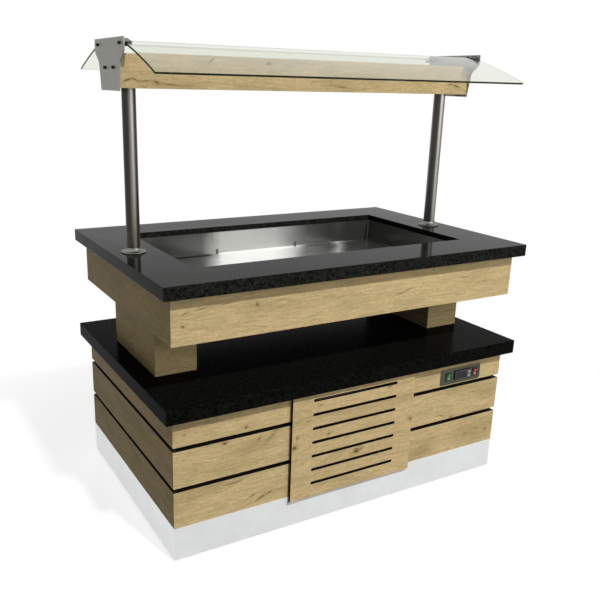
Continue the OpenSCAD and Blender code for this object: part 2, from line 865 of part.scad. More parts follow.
// Strainer in the well floor, pipe through the left pedestal and out to the valve
module drain_pipe() {
    r = drain_d / 2;
    color(STEEL) {
        difference() {
            translate([well_drain_x, well_y, well_z]) cylinder(h = 2, r = r + 9);
            for (a = [0 : 45 : 315]) translate([well_drain_x, well_y, well_z - cut])
                rotate([0, 0, a]) translate([r * 0.65, 0, 0]) cylinder(h = 2 + 2 * cut, r = 2);
        }
        bent_rod([[well_drain_x, well_y, well_z], [well_drain_x, well_y, run_z], [-drain_x, well_y, run_z],
            [-drain_x, well_y, valve_z], [-drain_x, in_y - 4, valve_z]], r, drain_bend);
    }
}

// Ball valve in its recess, with the outlet stub
module drain_valve() {
    color([0.78, 0.66, 0.35]) translate([-drain_x, 0, valve_z]) {
        rod_y(body_r, in_y - 4, cab_y + 6);
        rod_y(outlet_r, cab_y + 6 - eps, cab_y + 6 + outlet_len);
        translate([0, stem_y, body_r - 3]) cylinder(h = 9, r = stem_r);
    }
}

// Butterfly handle on the stem, across the pipe when shut
module valve_handle() {
    z0 = valve_z + body_r + 1.5;
    color([0.75, 0.1, 0.08]) translate([-drain_x, stem_y, 0]) difference() {
        union() {
            translate([0, 0, z0]) cylinder(h = 8, r = 8);
            block(-23, 23, -4, 4, z0 + 2, z0 + 8);
            for (side = [-1, 1]) translate([side * 23, 0, z0 + 2]) cylinder(h = 6, r = 4);
        }
        translate([0, 0, z0 - cut]) cylinder(h = 6, r = stem_r + run);
    }
}

// ---- machine ----

module unit_tray() {
    x0 = unit_x - cond_w / 2 - tray_rim;
    x1 = unit_x + cond_w / 2 + 1.5 * tray_rim;
    y0 = cond_y0 - tray_lip;
    y1 = comp_y + comp_d / 2 + tray_rim;
    color(GREY) {
        block(x0, x1, y0, y1, tray_z, tray_z + tray_t);
        for (x = [x0, x1 - tray_rim]) block(x, x + tray_rim, y0, y1, deck_z, tray_z);
    }
}

// Hermetic shell on four feet, with its terminal box and stubs
module compressor() {
    r = comp_d / 2;
    dome = 32;
    color(BLACK) translate([comp_x, comp_y, 0]) {
        translate([0, 0, comp_z]) rotate_extrude() intersection() {
            square([r, comp_h]);
            union() {
                translate([0, dome]) square([r, comp_h - 2 * dome]);
                for (z = [dome, comp_h - dome]) translate([0, z]) {
                    translate([r - dome, 0]) circle(r = dome);
                    translate([0, -dome]) square([r - dome, 2 * dome]);
                }
            }
        }
        for (a = [45 : 90 : 315]) rotate([0, 0, a]) translate([r * 0.72, 0, tray_z + tray_t])
            cylinder(h = comp_z - tray_z - tray_t + 14, r = 10);
        block(r - 8, r + 34, -30, 30, comp_z + 60, comp_z + 120);
        translate([0, 0, suction_z]) rod_x(coil_d / 2 + 2, -r - stub_len, -r + 6);
    }
}

// Finned core between end plates, with return bends on the right
module condenser() {
    x0 = unit_x - cond_w / 2;
    x1 = unit_x + cond_w / 2;
    z0 = tray_z + tray_t;
    rows = 5;
    color(STEEL) {
        block(x0, x1, cond_y0 + 4, cond_y1 - 4, z0, z0 + cond_h - 4);
        for (x = [x0 - 2, x1]) block(x, x + 2, cond_y0, cond_y1, z0, z0 + cond_h);
        block(x0 - 2, x1 + 2, cond_y0, cond_y1, z0 + cond_h - 4 - eps, z0 + cond_h);
        for (i = [0 : rows - 1]) translate([x1 + 2 - eps, (cond_y0 + cond_y1) / 2, z0 + 36 + i * 40])
            rotate([0, 90, 0]) rotate([0, 0, 90]) rotate([90, 0, 0])
                rotate_extrude(angle = 180) translate([9, 0]) circle(r = 4);
        translate([0, cond_y0 + cond_t / 2, liquid_z]) rod_x(coil_d / 2 + 2, x0 - stub_len, x0 - 2 + eps);
    }
}

// Shroud ring on a back plate with the motor held on three arms
module fan_shroud() {
    ring_r = fan_d / 2 + 6;
    motor_y = fan_y + 24;
    x0 = unit_x - cond_w / 2;
    x1 = unit_x + cond_w / 2;
    z0 = tray_z + tray_t;
    color(BLACK) {
        difference() {
            union() {
                block(x0, x1, cond_y1, cond_y1 + 3, z0, z0 + cond_h);
                translate([unit_x, 0, fan_z]) rod_y(ring_r + 3, cond_y1, cond_y1 + shroud_len);
            }
            translate([unit_x, 0, fan_z]) rod_y(ring_r, cond_y1 - cut, cond_y1 + shroud_len + cut);
        }
        translate([unit_x, 0, fan_z]) {
            rod_y(motor_r, motor_y, motor_y + motor_len);
            rod_y(shaft_r, fan_y - 10, motor_y + eps);
            for (a = [90 : 120 : 330]) rotate([0, a, 0])
                block(motor_r - arm_t, ring_r + 3, cond_y1 + shroud_len - eps, cond_y1 + shroud_len + arm_t,
                    -arm_w / 2, arm_w / 2);
        }
    }
}

module fan_blade() {
    hub_r = 22;
    root = hub_r - 4;
    tip = sqrt(pow(fan_d / 2, 2) - pow(blade_w / 2 * cos(blade_pitch), 2));
    color(STEEL) translate([unit_x, fan_y, fan_z]) difference() {
        union() {
            rod_y(hub_r, -10, 14);
            for (i = [0 : blade_count - 1]) rotate([0, i * 360 / blade_count, 0])
                rotate([blade_pitch, 0, 0]) block(root, tip, -0.75, 0.75, -blade_w / 2, blade_w / 2);
        }
        rod_y(shaft_r + run, -10 - cut, 14 + cut);
    }
}

// Appliance inlet on the rear: flange, shell and three pins
module power_inlet() {
    color(BLACK) translate([inlet_x, 0, valve_z]) {
        difference() {
            union() {
                block(-25, 25, cab_y, cab_y + 3, -14, 14);
                block(-14.5, 14.5, cab_y - 30, cab_y + eps, -10.5, 10.5);
            }
            block(-12.5, 12.5, cab_y - 16, cab_y + 3 + cut, -8.5, 8.5);
        }
        for (x = [-7, 0, 7]) block(x - 1, x + 1, cab_y - 16 - eps, cab_y - 2, -2.5, 2.5);
    }
}

// ---- canopy ----

module posts() {
    color(STEEL) both_x() translate([post_x, 0, slab_z0]) difference() {
        cylinder(h = post_top - slab_z0, r = post_r);
        translate([0, 0, -cut]) cylinder(h = post_top - slab_z0 + 2 * cut, r = post_r - post_wall);
    }
}

// Bell flange: flat foot, hollow sweep and a collar round the post
module post_flanges() {
    foot = 4;
    collar = post_r + 2.5;
    sweep = flange_h - foot;
    steps = 8;
    curve = [for (i = [0 : steps]) let (a = 90 * i / steps)
        [flange_d / 2 - (flange_d / 2 - collar) * sin(a), foot + sweep * (1 - cos(a))]];
    color(STEEL) both_x() translate([post_x, 0, top_z]) rotate_extrude()
        polygon(concat([[post_r + 0.05, 0], [flange_d / 2, 0]], curve, [[post_r + 0.05, flange_h]]));
}

module beam_casing() {
    x = beam_x;
    y = beam_d / 2;
    color(OAK) difference() {
        union() {
            both_y() block(-x, x, -y, -y + beam_t, beam_z0, beam_z1);
            block(-x, x, -y + beam_t - eps, y - beam_t + eps, beam_z1 - beam_t, beam_z1);
            block(-x, x, -y + beam_t - eps, y - beam_t + eps, beam_z0, beam_z0 + beam_t);
            both_x() block(x - block_w, x, -y + beam_t - eps, y - beam_t + eps,
                beam_z0 + beam_t - eps, beam_z1 - beam_t + eps);
        }
        both_x() translate([post_x, 0, beam_z0 - cut]) cylinder(h = beam_t + 2 * cut, r = post_r + slip);
        block(-lamp_x - slip, lamp_x + slip, -lamp_w / 2 - slip, lamp_w / 2 + slip,
            beam_z0 - cut, beam_z0 + beam_t + cut);
        both_x() both_y() translate([0, beam_screw_y, beam_screw_z])
            rod_x(screw_r + 0.1, x - block_w - cut, x + cut);
    }
}

// Open-ended channel with end tabs on the lower board, and a diffuser below
module lamp() {
    half_w = lamp_w / 2;
    z0 = beam_z0 + 1;
    z1 = z0 + lamp_h;
    tab_z = beam_z0 + beam_t;
    color("white") {
        difference() {
            block(-lamp_x, lamp_x, -half_w, half_w, z0, z1);
            block(-lamp_x - cut, lamp_x + cut, -half_w + lamp_wall, half_w - lamp_wall,
                z0 + lens_t, z1 - lamp_wall);
        }
        both_x() block(lamp_x - 2 * lamp_wall, lamp_x + lamp_tab, -half_w, half_w, tab_z, tab_z + lamp_wall);
    }
}

module end_brackets() {
    points = concat(bracket_side, [for (i = [len(bracket_side) - 1 : -1 : 0])
        [-bracket_side[i][0], bracket_side[i][1]]]);
    color(GREY) both_x() difference() {
        along_x(beam_x, beam_x + bracket_t) polygon(points);
        screw_places() rod_x(screw_r + 0.2, beam_x - cut, beam_x + bracket_t + cut);
    }
}

// The four screw places of one bracket
module screw_places() {
    for (side = [-1, 1]) {
        translate([0, side * clip_screw_y, clip_screw_z]) children();
        translate([0, side * beam_screw_y, beam_screw_z]) children();
    }
}

module bracket_screws() {
    x = beam_x + bracket_t;
    color(BLACK) both_x() screw_places() {
        rod_x(screw_r, x - bracket_t - 20, x + eps);
        translate([x, 0, 0]) rotate([0, 90, 0]) rotate_extrude() intersection() {
            square([screw_head_r, screw_head_h]);
            translate([0, screw_head_h - 2 * screw_r]) circle(r = 2 * screw_r);
        }
    }
}

// Bowed sheet from the clip down to its reach, on the front
module glass_sheet(reach) {
    centre_y = -glass_edge_y + glass_r * sin(glass_slope);
    centre_z = glass_z - glass_r * cos(glass_slope);
    end_slope = asin((reach + centre_y) / glass_r);
    rim = glass_r * 1.05;
    wedge = [for (a = [glass_slope, (glass_slope + end_slope) / 2, end_slope]) [-rim * sin(a), rim * cos(a)]];
    along_x(-glass_x, glass_x) translate([centre_y, centre_z]) intersection() {
        difference() {
            circle(r = glass_r, $fn = arc_steps);
            circle(r = glass_r - glass_t, $fn = arc_steps);
        }
        polygon(concat([[0, 0]], wedge));
    }
}

module glass_front() {
    color([0.75, 0.85, 0.8, 0.4]) glass_sheet(front_reach);
}

module glass_rear() {
    color([0.75, 0.85, 0.8, 0.4]) mirror([0, 1, 0]) glass_sheet(rear_reach);
}

// Jaw clip on the bracket: spine with the screw, one jaw under the glass and one over it
module glass_clips() {
    x = beam_x;
    sag = jaw * jaw / glass_r / 2;
    color(BLACK) both_x() both_y() difference() {
        translate([0, -glass_edge_y, glass_z]) rotate([glass_slope, 0, 0]) {
            block(x - clip_w, x, 0.5, spine_y, -glass_t - jaw_drop, jaw_t);
            block(x - clip_w, x, -jaw, spine_y, -glass_t - low_jaw_t, -glass_t - sag - 0.2);
            block(x - clip_w, x, -jaw, spine_y, 0.2, jaw_t);
        }
        translate([0, -clip_screw_y, clip_screw_z]) rod_x(screw_r + 0.1, x - clip_w - cut, x + cut);
    }
}

// ---- casters ----

module caster_plates() {
    color(STEEL) both_x() both_y() translate([caster_x, caster_y, 0]) {
        block(-plate_w / 2, plate_w / 2, -plate_w / 2, plate_w / 2, caster_h - plate_t, caster_h);
        translate([0, 0, head_z]) cylinder(h = race_h + eps, r = race_r);
        translate([0, 0, fork_z0 - turn_gap - eps])
            cylinder(h = fork_top_t + 2 * (turn_gap + eps), r = kingpin_r);
        translate([0, 0, fork_z0 - turn_gap - nut_h]) cylinder(h = nut_h, r = kingpin_r + 3);
    }
}

// Fork and axle of the caster at a corner, trailing to the rear
module caster_fork(sx, sy) {
    leg_y = trail;
    inner = wheel_w / 2 + 1.5;
    translate([sx * caster_x, sy * caster_y, 0]) color(STEEL) {
        difference() {
            union() {
                translate([0, 0, fork_z0]) cylinder(h = fork_top_t, r = race_r + 2);
                for (side = [-1, 1]) translate([side * (inner + leg_t / 2), 0, 0])
                    along_x(-leg_t / 2, leg_t / 2) fork_leg();
            }
            translate([0, 0, fork_z0 - cut]) cylinder(h = fork_top_t + 2 * cut, r = kingpin_r + run);
            translate([0, leg_y, axle_z]) rod_x(axle_r, -inner - leg_t - cut, inner + leg_t + cut);
        }
        translate([0, leg_y, axle_z]) {
            rod_x(axle_r, -inner - leg_t - 1, inner + leg_t + 1);
            for (side = [-1, 1]) translate([side * (inner + leg_t + 2.5), 0, 0]) rod_x(8, -2.5, 2.5);
        }
    }
}

// Side of a fork leg, from the head down to the axle eye
module fork_leg() {
    eye = 11;
    polygon([[-20, fork_z0 + 1], [22, fork_z0 + 1], [trail + eye, axle_z], [trail - eye, axle_z]]);
    translate([trail, axle_z]) circle(r = eye);
}

// Grooved tyre on a hub with side recesses
module caster_wheel(sx, sy) {
    r = wheel_d / 2;
    half = wheel_w / 2;
    profile = [[axle_r + run, -half - 1], [11, -half - 1], [11, -half + 4], [r - 12, -half + 4],
        [r - 9, -half], [r - 3, -half], [r, -half + 4], [r, half - 4], [r - 3, half], [r - 9, half],
        [r - 12, half - 4], [11, half - 4], [11, half + 1], [axle_r + run, half + 1]];
    color(BLACK) translate([sx * caster_x, sy * caster_y + trail, axle_z])
        rotate([0, 90, 0]) rotate_extrude() polygon(profile);
}

module caster_fork_fl() { caster_fork(-1, -1); }
module caster_fork_fr() { caster_fork(1, -1); }
module caster_fork_rl() { caster_fork(-1, 1); }
module caster_fork_rr() { caster_fork(1, 1); }
module caster_wheel_fl() { caster_wheel(-1, -1); }
module caster_wheel_fr() { caster_wheel(1, -1); }
module caster_wheel_rl() { caster_wheel(-1, 1); }
module caster_wheel_rr() { caster_wheel(1, 1); }

base_frame();
base_deck();
skirt_boards();
carcass_front();
carcass_rear();
carcass_ends();
slats_front();
slats_ends();
slats_rear();
door_pivots();
door_catch();
control_plate();
switch_frames();
thermostat();
lower_shelf();
pedestals();
support_columns();
underside_panel();
top_frame();
fascia_front();
fascia_rear();
fascia_ends();
counter_slab();
counter_edges();
well_pan();
well_insulation();
evaporator_coil();
refrigerant_lines();
drain_pipe();
drain_valve();
unit_tray();
compressor();
condenser();
fan_shroud();
power_inlet();
posts();
post_flanges();
beam_casing();
lamp();
end_brackets();
glass_front();
glass_rear();
glass_clips();
bracket_screws();
caster_plates();
vent_door();
rocker_green();
rocker_red();
button_up();
button_down();
fan_blade();
valve_handle();
caster_fork_fl();
caster_fork_fr();
caster_fork_rl();
caster_fork_rr();
caster_wheel_fl();
caster_wheel_fr();
caster_wheel_rl();
caster_wheel_rr();
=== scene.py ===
"""Mobile salad bar: surfaces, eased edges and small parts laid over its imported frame."""

import json
import math
from contextlib import contextmanager

import bmesh
import bpy
from bpy.props import FloatProperty, FloatVectorProperty, IntProperty, PointerProperty
from mathutils import Matrix, Vector


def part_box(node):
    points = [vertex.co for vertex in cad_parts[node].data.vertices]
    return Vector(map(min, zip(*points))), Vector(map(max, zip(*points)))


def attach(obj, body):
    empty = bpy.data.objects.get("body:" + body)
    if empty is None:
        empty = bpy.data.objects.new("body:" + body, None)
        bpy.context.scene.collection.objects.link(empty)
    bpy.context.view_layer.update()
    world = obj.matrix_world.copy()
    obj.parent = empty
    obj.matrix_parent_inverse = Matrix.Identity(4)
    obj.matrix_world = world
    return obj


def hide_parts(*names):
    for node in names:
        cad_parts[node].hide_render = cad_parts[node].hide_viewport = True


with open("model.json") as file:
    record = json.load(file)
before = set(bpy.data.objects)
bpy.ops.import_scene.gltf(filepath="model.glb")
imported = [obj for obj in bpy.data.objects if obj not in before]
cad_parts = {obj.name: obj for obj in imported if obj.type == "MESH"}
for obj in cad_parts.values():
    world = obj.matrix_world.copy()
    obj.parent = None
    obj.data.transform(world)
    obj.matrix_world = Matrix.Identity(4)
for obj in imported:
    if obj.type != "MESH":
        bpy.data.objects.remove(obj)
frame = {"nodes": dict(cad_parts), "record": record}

bl_info = {
    "name": "Mobile Salad Bar",
    "version": (1, 0, 0),
    "blender": (4, 5, 0),
    "location": "3D View > Sidebar > Salad Bar",
    "description": "Dresses a cooled self-service counter with its finishes and small parts",
    "category": "Object",
}

MM = 0.001
RECORD = frame["record"]
CABINET = "cabinet"
BODY_OF = {node: body for body, nodes in RECORD["behaviour"]["bodies"].items() for node in nodes}
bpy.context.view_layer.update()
CORNERS = ("fl", "fr", "rl", "rr")
# Turns that point what was made upright to the front and to the rear
TO_FRONT = (math.pi / 2, 0, 0)
TO_REAR = (-math.pi / 2, 0, 0)


def low(node):
    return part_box(node)[0]


def high(node):
    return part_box(node)[1]


def middle(node):
    return (low(node) + high(node)) / 2


# ---------------------------------------------------------------- sizes and colours


def colour(name, description, default):
    return FloatVectorProperty(
        name=name, description=description, subtype="COLOR", size=3, min=0, max=1, default=default
    )


def length(name, description, default):
    return FloatProperty(
        name=name, description=description, unit="LENGTH", min=0, max=0.1, precision=4, default=default
    )


def strength(name, description, default):
    return FloatProperty(name=name, description=description, default=default, min=0)


class SaladBarColours(bpy.types.PropertyGroup):
    """Colours of the finishes"""

    oak_light: colour("Oak, light", "Light figure of the oak laminate", (0.7, 0.53, 0.27))
    oak_dark: colour("Oak, dark", "Dark figure of the oak laminate", (0.36, 0.255, 0.115))
    oak_knot: colour("Oak knots", "Heart of a knot or crack", (0.085, 0.055, 0.025))
    stone: colour("Stone", "Ground of the polished stone", (0.01, 0.0102, 0.0086))
    stone_fleck: colour("Stone flecks", "Crystals in the polished stone", (0.05, 0.051, 0.045))
    steel: colour("Stainless steel", "Posts of the canopy", (0.46, 0.45, 0.42))
    sheet: colour("Stainless sheet", "Well pan", (0.88, 0.88, 0.85))
    bracket: colour("Bracket steel", "End brackets of the canopy", (0.27, 0.265, 0.245))
    skirt: colour("Skirt", "Boards round the casters", (0.81, 0.825, 0.82))
    glass: colour("Glass", "Tint of the canopy glass", (0.8, 0.82, 0.73))


class SaladBarSizes(bpy.types.PropertyGroup):
    """Sizes of the details that lie over the frame"""

    board_arris: length("Board arris", "Eased edge of the laminate boards", 0.5 * MM)
    stone_arris: length("Stone arris", "Polished edge of the stone", 2.0 * MM)
    metal_arris: length("Metal arris", "Broken edge of sheet metal", 0.5 * MM)
    pan_fold: length("Pan fold", "Radius of the folds in the well pan", 4.0 * MM)
    glass_arris: length("Glass arris", "Ground edge of the glass", 0.7 * MM)
    fin_pitch: length("Fin pitch", "Distance between two condenser fins", 3.2 * MM)
    guard_rings: IntProperty(name="Guard rings", description="Rings of the fan guard", default=6, min=2)


class SaladBarStudio(bpy.types.PropertyGroup):
    """Light on the object and its floor"""

    key: strength("Key", "Strength of the key light", 2.15)
    fill: strength("Fill", "Power of the front fill in watts", 38)
    ambient: strength("Ambient", "Strength of the sky on the object", 0.1)
    rear: strength("Rear fill", "Strength of the light from behind", 1.4)
    skirt: strength("Skirt fill", "Strength of the low light on the skirt", 2.3)
    well: strength("Well lamp", "Strength of the light under the canopy", 1.65)
    floor: colour("Floor", "Floor as the lamps see it", (0.24, 0.24, 0.24))


# ---------------------------------------------------------------- modelling by hand


def pick_only(piece):
    """Selects one object and makes it active"""
    bpy.ops.object.select_all(action="DESELECT")
    piece.select_set(True)
    bpy.context.view_layer.objects.active = piece


@contextmanager
def editing(piece):
    """Edit mode on one piece, with all of its mesh selected"""
    pick_only(piece)
    bpy.ops.object.mode_set(mode="EDIT")
    bpy.ops.mesh.select_all(action="SELECT")
    yield
    bpy.ops.object.mode_set(mode="OBJECT")


def settle(piece):
    """Puts the object's place into its mesh"""
    pick_only(piece)
    bpy.ops.object.transform_apply(location=True, rotation=True, scale=True)
    return piece


def lay(piece, place, turn=(0, 0, 0)):
    """Turns and moves a piece that was made at the origin"""
    piece.rotation_euler = turn
    piece.location = place
    return settle(piece)


def added(name, kind, **settings):
    """A new primitive at its size and place"""
    bpy.ops.object.select_all(action="DESELECT")
    getattr(bpy.ops.mesh, f"primitive_{kind}_add")(**settings)
    piece = bpy.context.object
    piece.name = name
    return settle(piece)


def new_box(name, corner_a, corner_b):
    a, b = Vector(corner_a), Vector(corner_b)
    return added(name, "cube", size=1, location=(a + b) / 2, scale=b - a)


def new_rod(name, start, end, radius, sides):
    start, end = Vector(start), Vector(end)
    way = end - start
    turn = way.to_track_quat("Z", "Y").to_euler()
    place = (start + end) / 2
    return added(
        name, "cylinder", vertices=sides, radius=radius, depth=way.length, location=place, rotation=turn
    )


def new_ring(name, centre, turn, radius, thickness, around, across):
    return added(
        name,
        "torus",
        location=centre,
        rotation=turn,
        major_radius=radius,
        minor_radius=thickness,
        major_segments=around,
        minor_segments=across,
    )


def mm(*points):
    """(radius, height) points given in millimetres"""
    return [(radius * MM, height * MM) for radius, height in points]


def turned(name, profile, sides=48, hollow=False):
    """A lathe shape about Z: a circle drawn out ring by ring through (radius, height) points"""
    radius, height = profile[0]
    piece = added(name, "circle", vertices=sides, radius=radius, location=(0, 0, height))
    with editing(piece):
        bpy.ops.mesh.select_mode(type="EDGE")
        bpy.ops.mesh.select_all(action="SELECT")
        if not hollow:
            bpy.ops.mesh.edge_face_add()
            bpy.ops.mesh.select_mode(type="EDGE")
        for (r0, z0), (r1, z1) in zip(profile, profile[1:]):
            bpy.ops.mesh.extrude_edges_move(TRANSFORM_OT_translate={"value": (0, 0, z1 - z0)})
            bpy.ops.transform.resize(value=(r1 / r0, r1 / r0, 1), center_override=(0, 0, z1))
        if hollow:
            bpy.ops.mesh.select_all(action="DESELECT")
            bpy.ops.mesh.select_non_manifold()
            bpy.ops.mesh.bridge_edge_loops()
        else:
            bpy.ops.mesh.edge_face_add()
        bpy.ops.mesh.select_all(action="SELECT")
        bpy.ops.mesh.remove_doubles(threshold=MM / 1000)
        bpy.ops.mesh.normals_make_consistent(inside=False)
    return piece


def modify(piece, kind, **settings):
    """Adds a modifier and applies it"""
    pick_only(piece)
    modifier = piece.modifiers.new(kind.title(), kind)
    for name, value in settings.items():
        setattr(modifier, name, value)
    bpy.ops.object.modifier_apply(modifier=modifier.name)
    return piece


def everywhere(_middle):
    return True


def ease_edges(piece, width, where=everywhere, segments=2, least_angle=30):
    """Bevels the sharp edges whose middle passes the test"""
    mesh = bmesh.new()
    mesh.from_mesh(piece.data)
    weight = mesh.edges.layers.float.new("bevel_weight_edge")
    for edge in mesh.edges:
        if len(edge.link_faces) == 2 and edge.calc_face_angle() > math.radians(least_angle):
            edge[weight] = 1.0 if where((edge.verts[0].co + edge.verts[1].co) / 2) else 0.0
    mesh.to_mesh(piece.data)
    mesh.free()
    return modify(
        piece, "BEVEL", width=width, segments=segments, limit_method="WEIGHT", use_clamp_overlap=True
    )


def cut_out(piece, cutter):
    """Takes one solid out of another and removes the cutter"""
    modify(piece, "BOOLEAN", operation="DIFFERENCE", solver="EXACT", object=cutter)
    bpy.data.objects.remove(cutter)
    return piece


def joined(name, pieces):
    pick_only(pieces[0])
    for piece in pieces:
        piece.select_set(True)
    bpy.ops.object.join()
    pieces[0].name = name
    return pieces[0]


def copy_at(piece, name, place):
    """A copy with its own mesh, moved by the given step"""
    twin = piece.copy()
    twin.data = piece.data.copy()
    twin.name = name
    bpy.context.collection.objects.link(twin)
    twin.data.transform(Matrix.Translation(place))
    return twin


def complete(piece, finish, body, stands_for=(), smooth=30):
    """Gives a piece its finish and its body"""
    if not piece.data.materials:
        piece.data.materials.append(surface(finish))
    pick_only(piece)
    bpy.ops.object.shade_smooth_by_angle(angle=math.radians(smooth))
    modify(piece, "WEIGHTED_NORMAL", mode="FACE_AREA", weight=50, keep_sharp=True)
    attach(piece, body)
    if stands_for:
        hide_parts(*stands_for)
    return piece


def fittings(name, pieces, finish, body=CABINET):
    """Small pieces made one, which stand for no CAD node of their own"""
    return complete(joined(name, pieces), finish, body)


def merged_copy(node, name):
    """The solid of a CAD node as one clean closed mesh"""
    piece = bpy.data.objects.new(name, frame["nodes"][node].data.copy())
    bpy.context.collection.objects.link(piece)
    piece.data.materials.clear()
    with editing(piece):
        bpy.ops.mesh.remove_doubles(threshold=MM / 500)
        bpy.ops.mesh.dissolve_limited(angle_limit=math.radians(0.4))
    return piece


def dress(node, name, finish, arris=0.0, where=everywhere, segments=2, smooth=30, second=None):
    """A finished piece in the place of a CAD node, with its edges eased

    second is a pair of another finish and a test that picks the faces that take it
    """
    piece = merged_copy(node, name)
    if arris:
        ease_edges(piece, arris, where, segments)
    if second:
        piece.data.materials.append(surface(finish))
        piece.data.materials.append(surface(second[0]))
        for face in piece.data.polygons:
            face.material_index = 1 if second[1](face) else 0
    return complete(piece, finish, BODY_OF[node], (node,), smooth)


def paint(node, finish):
    """Keeps a CAD node and gives it its finish"""
    mesh = frame["nodes"][node].data
    if not mesh.materials:
        mesh.materials.append(None)
    for index in range(len(mesh.materials)):
        mesh.materials[index] = surface(finish)


def light_only(lamp, piece):
    """Lets a lamp fall on one piece alone, shaded by nothing but itself"""
    lit = bpy.data.collections.new(lamp + "_lit")
    lit.objects.link(bpy.data.objects[piece])
    linking = bpy.data.objects[lamp].light_linking
    linking.receiver_collection = linking.blocker_collection = lit


# ---------------------------------------------------------------- node helpers


def new_surface(name, **values):
    """A material and its tree, with plain values on the shader's own sockets"""
    material = bpy.data.materials.new(name)
    material.use_nodes = True
    shader = material.node_tree.nodes["Principled BSDF"]
    for socket, value in values.items():
        shader.inputs[socket.replace("_", " ")].default_value = value
    return material, material.node_tree


def add(tree, kind, inputs=None, **settings):
    """Adds a node, sets it, and links or fills its inputs"""
    node = tree.nodes.new("ShaderNode" + kind)
    for name, value in settings.items():
        setattr(node, name, value)
    for key, value in (inputs or {}).items():
        if isinstance(value, bpy.types.NodeSocket):
            tree.links.new(value, node.inputs[key])
        else:
            node.inputs[key].default_value = value
    return node


def object_space(tree, scale=(1, 1, 1), shift=(0, 0, 0), vector=None):
    """Object coordinates, moved and stretched"""
    if vector is None:
        vector = add(tree, "TexCoord").outputs["Object"]
    return add(tree, "Mapping", {"Vector": vector, "Location": shift, "Scale": scale}).outputs["Vector"]


def noise(tree, vector, scale=1.0, detail=3.0, rough=0.5, distortion=0.0, output="Fac"):
    shape = {"Scale": scale, "Detail": detail, "Roughness": rough, "Distortion": distortion}
    return add(tree, "TexNoise", {"Vector": vector, **shape}).outputs[output]


def ramp(tree, factor, *stops):
    """A colour ramp through (place, colour) stops, where a plain number is a grey"""
    node = add(tree, "ValToRGB", {"Fac": factor})
    elements = node.color_ramp.elements
    while len(elements) < len(stops):
        elements.new(1.0)
    for element, (place, shade) in zip(elements, stops):
        element.position = place
        element.color = (*([shade] * 3 if isinstance(shade, (int, float)) else shade), 1)
    return node.outputs["Color"]


def blend(tree, factor, first, second, kind="MIX"):
    node = add(tree, "Mix", data_type="RGBA", blend_type=kind)
    for socket, value in ((node.inputs[0], factor), (node.inputs[6], first), (node.inputs[7], second)):
        if isinstance(value, bpy.types.NodeSocket):
            tree.links.new(value, socket)
        else:
            socket.default_value = value if isinstance(value, (int, float)) else (*value, 1)
    return node.outputs[2]


def multiplied(tree, first, second):
    return blend(tree, 1.0, first, second, "MULTIPLY")


def math_node(tree, operation, first, second=0.0):
    return add(tree, "Math", {0: first, 1: second}, operation=operation).outputs[0]


def times_plus(tree, vector, factor, addend):
    return add(tree, "VectorMath", {0: vector, 1: factor, 2: addend}, operation="MULTIPLY_ADD").outputs[0]


def distance(tree, vector):
    return add(tree, "VectorMath", {0: vector}, operation="LENGTH").outputs["Value"]


def part_of(tree, vector, axis):
    return add(tree, "SeparateXYZ", {0: vector}).outputs[axis]


def spread(tree, value, **ends):
    """A value run from one pair of ends to another, which are 0 and 1 where they aren't given"""
    inputs = {end.replace("_", " ").title(): number for end, number in ends.items()}
    return add(tree, "MapRange", {"Value": value, **inputs}).outputs["Result"]


def shade_of(value):
    """A colour as it is, or the user's colour of that name"""
    if isinstance(value, str):
        value = getattr(bpy.context.scene.salad_bar_colours, value)
    return tuple(value)


def scaled(shade, share):
    return tuple(min(1, part * share) for part in shade)


def finished(material, tone, gloss=None, relief=None, metal=None):
    """Links what varies: gloss is (factor, least, most) and relief is (height, strength, depth)"""
    tree = material.node_tree
    shader = tree.nodes["Principled BSDF"]
    tree.links.new(tone, shader.inputs["Base Color"])
    if gloss:
        factor, least, most = gloss
        tree.links.new(spread(tree, factor, to_min=least, to_max=most), shader.inputs["Roughness"])
    if relief:
        inputs = dict(zip(("Height", "Strength", "Distance"), relief))
        tree.links.new(add(tree, "Bump", inputs).outputs["Normal"], shader.inputs["Normal"])
    if metal:
        tree.links.new(metal, shader.inputs["Metallic"])
    return material


# ---------------------------------------------------------------- finishes


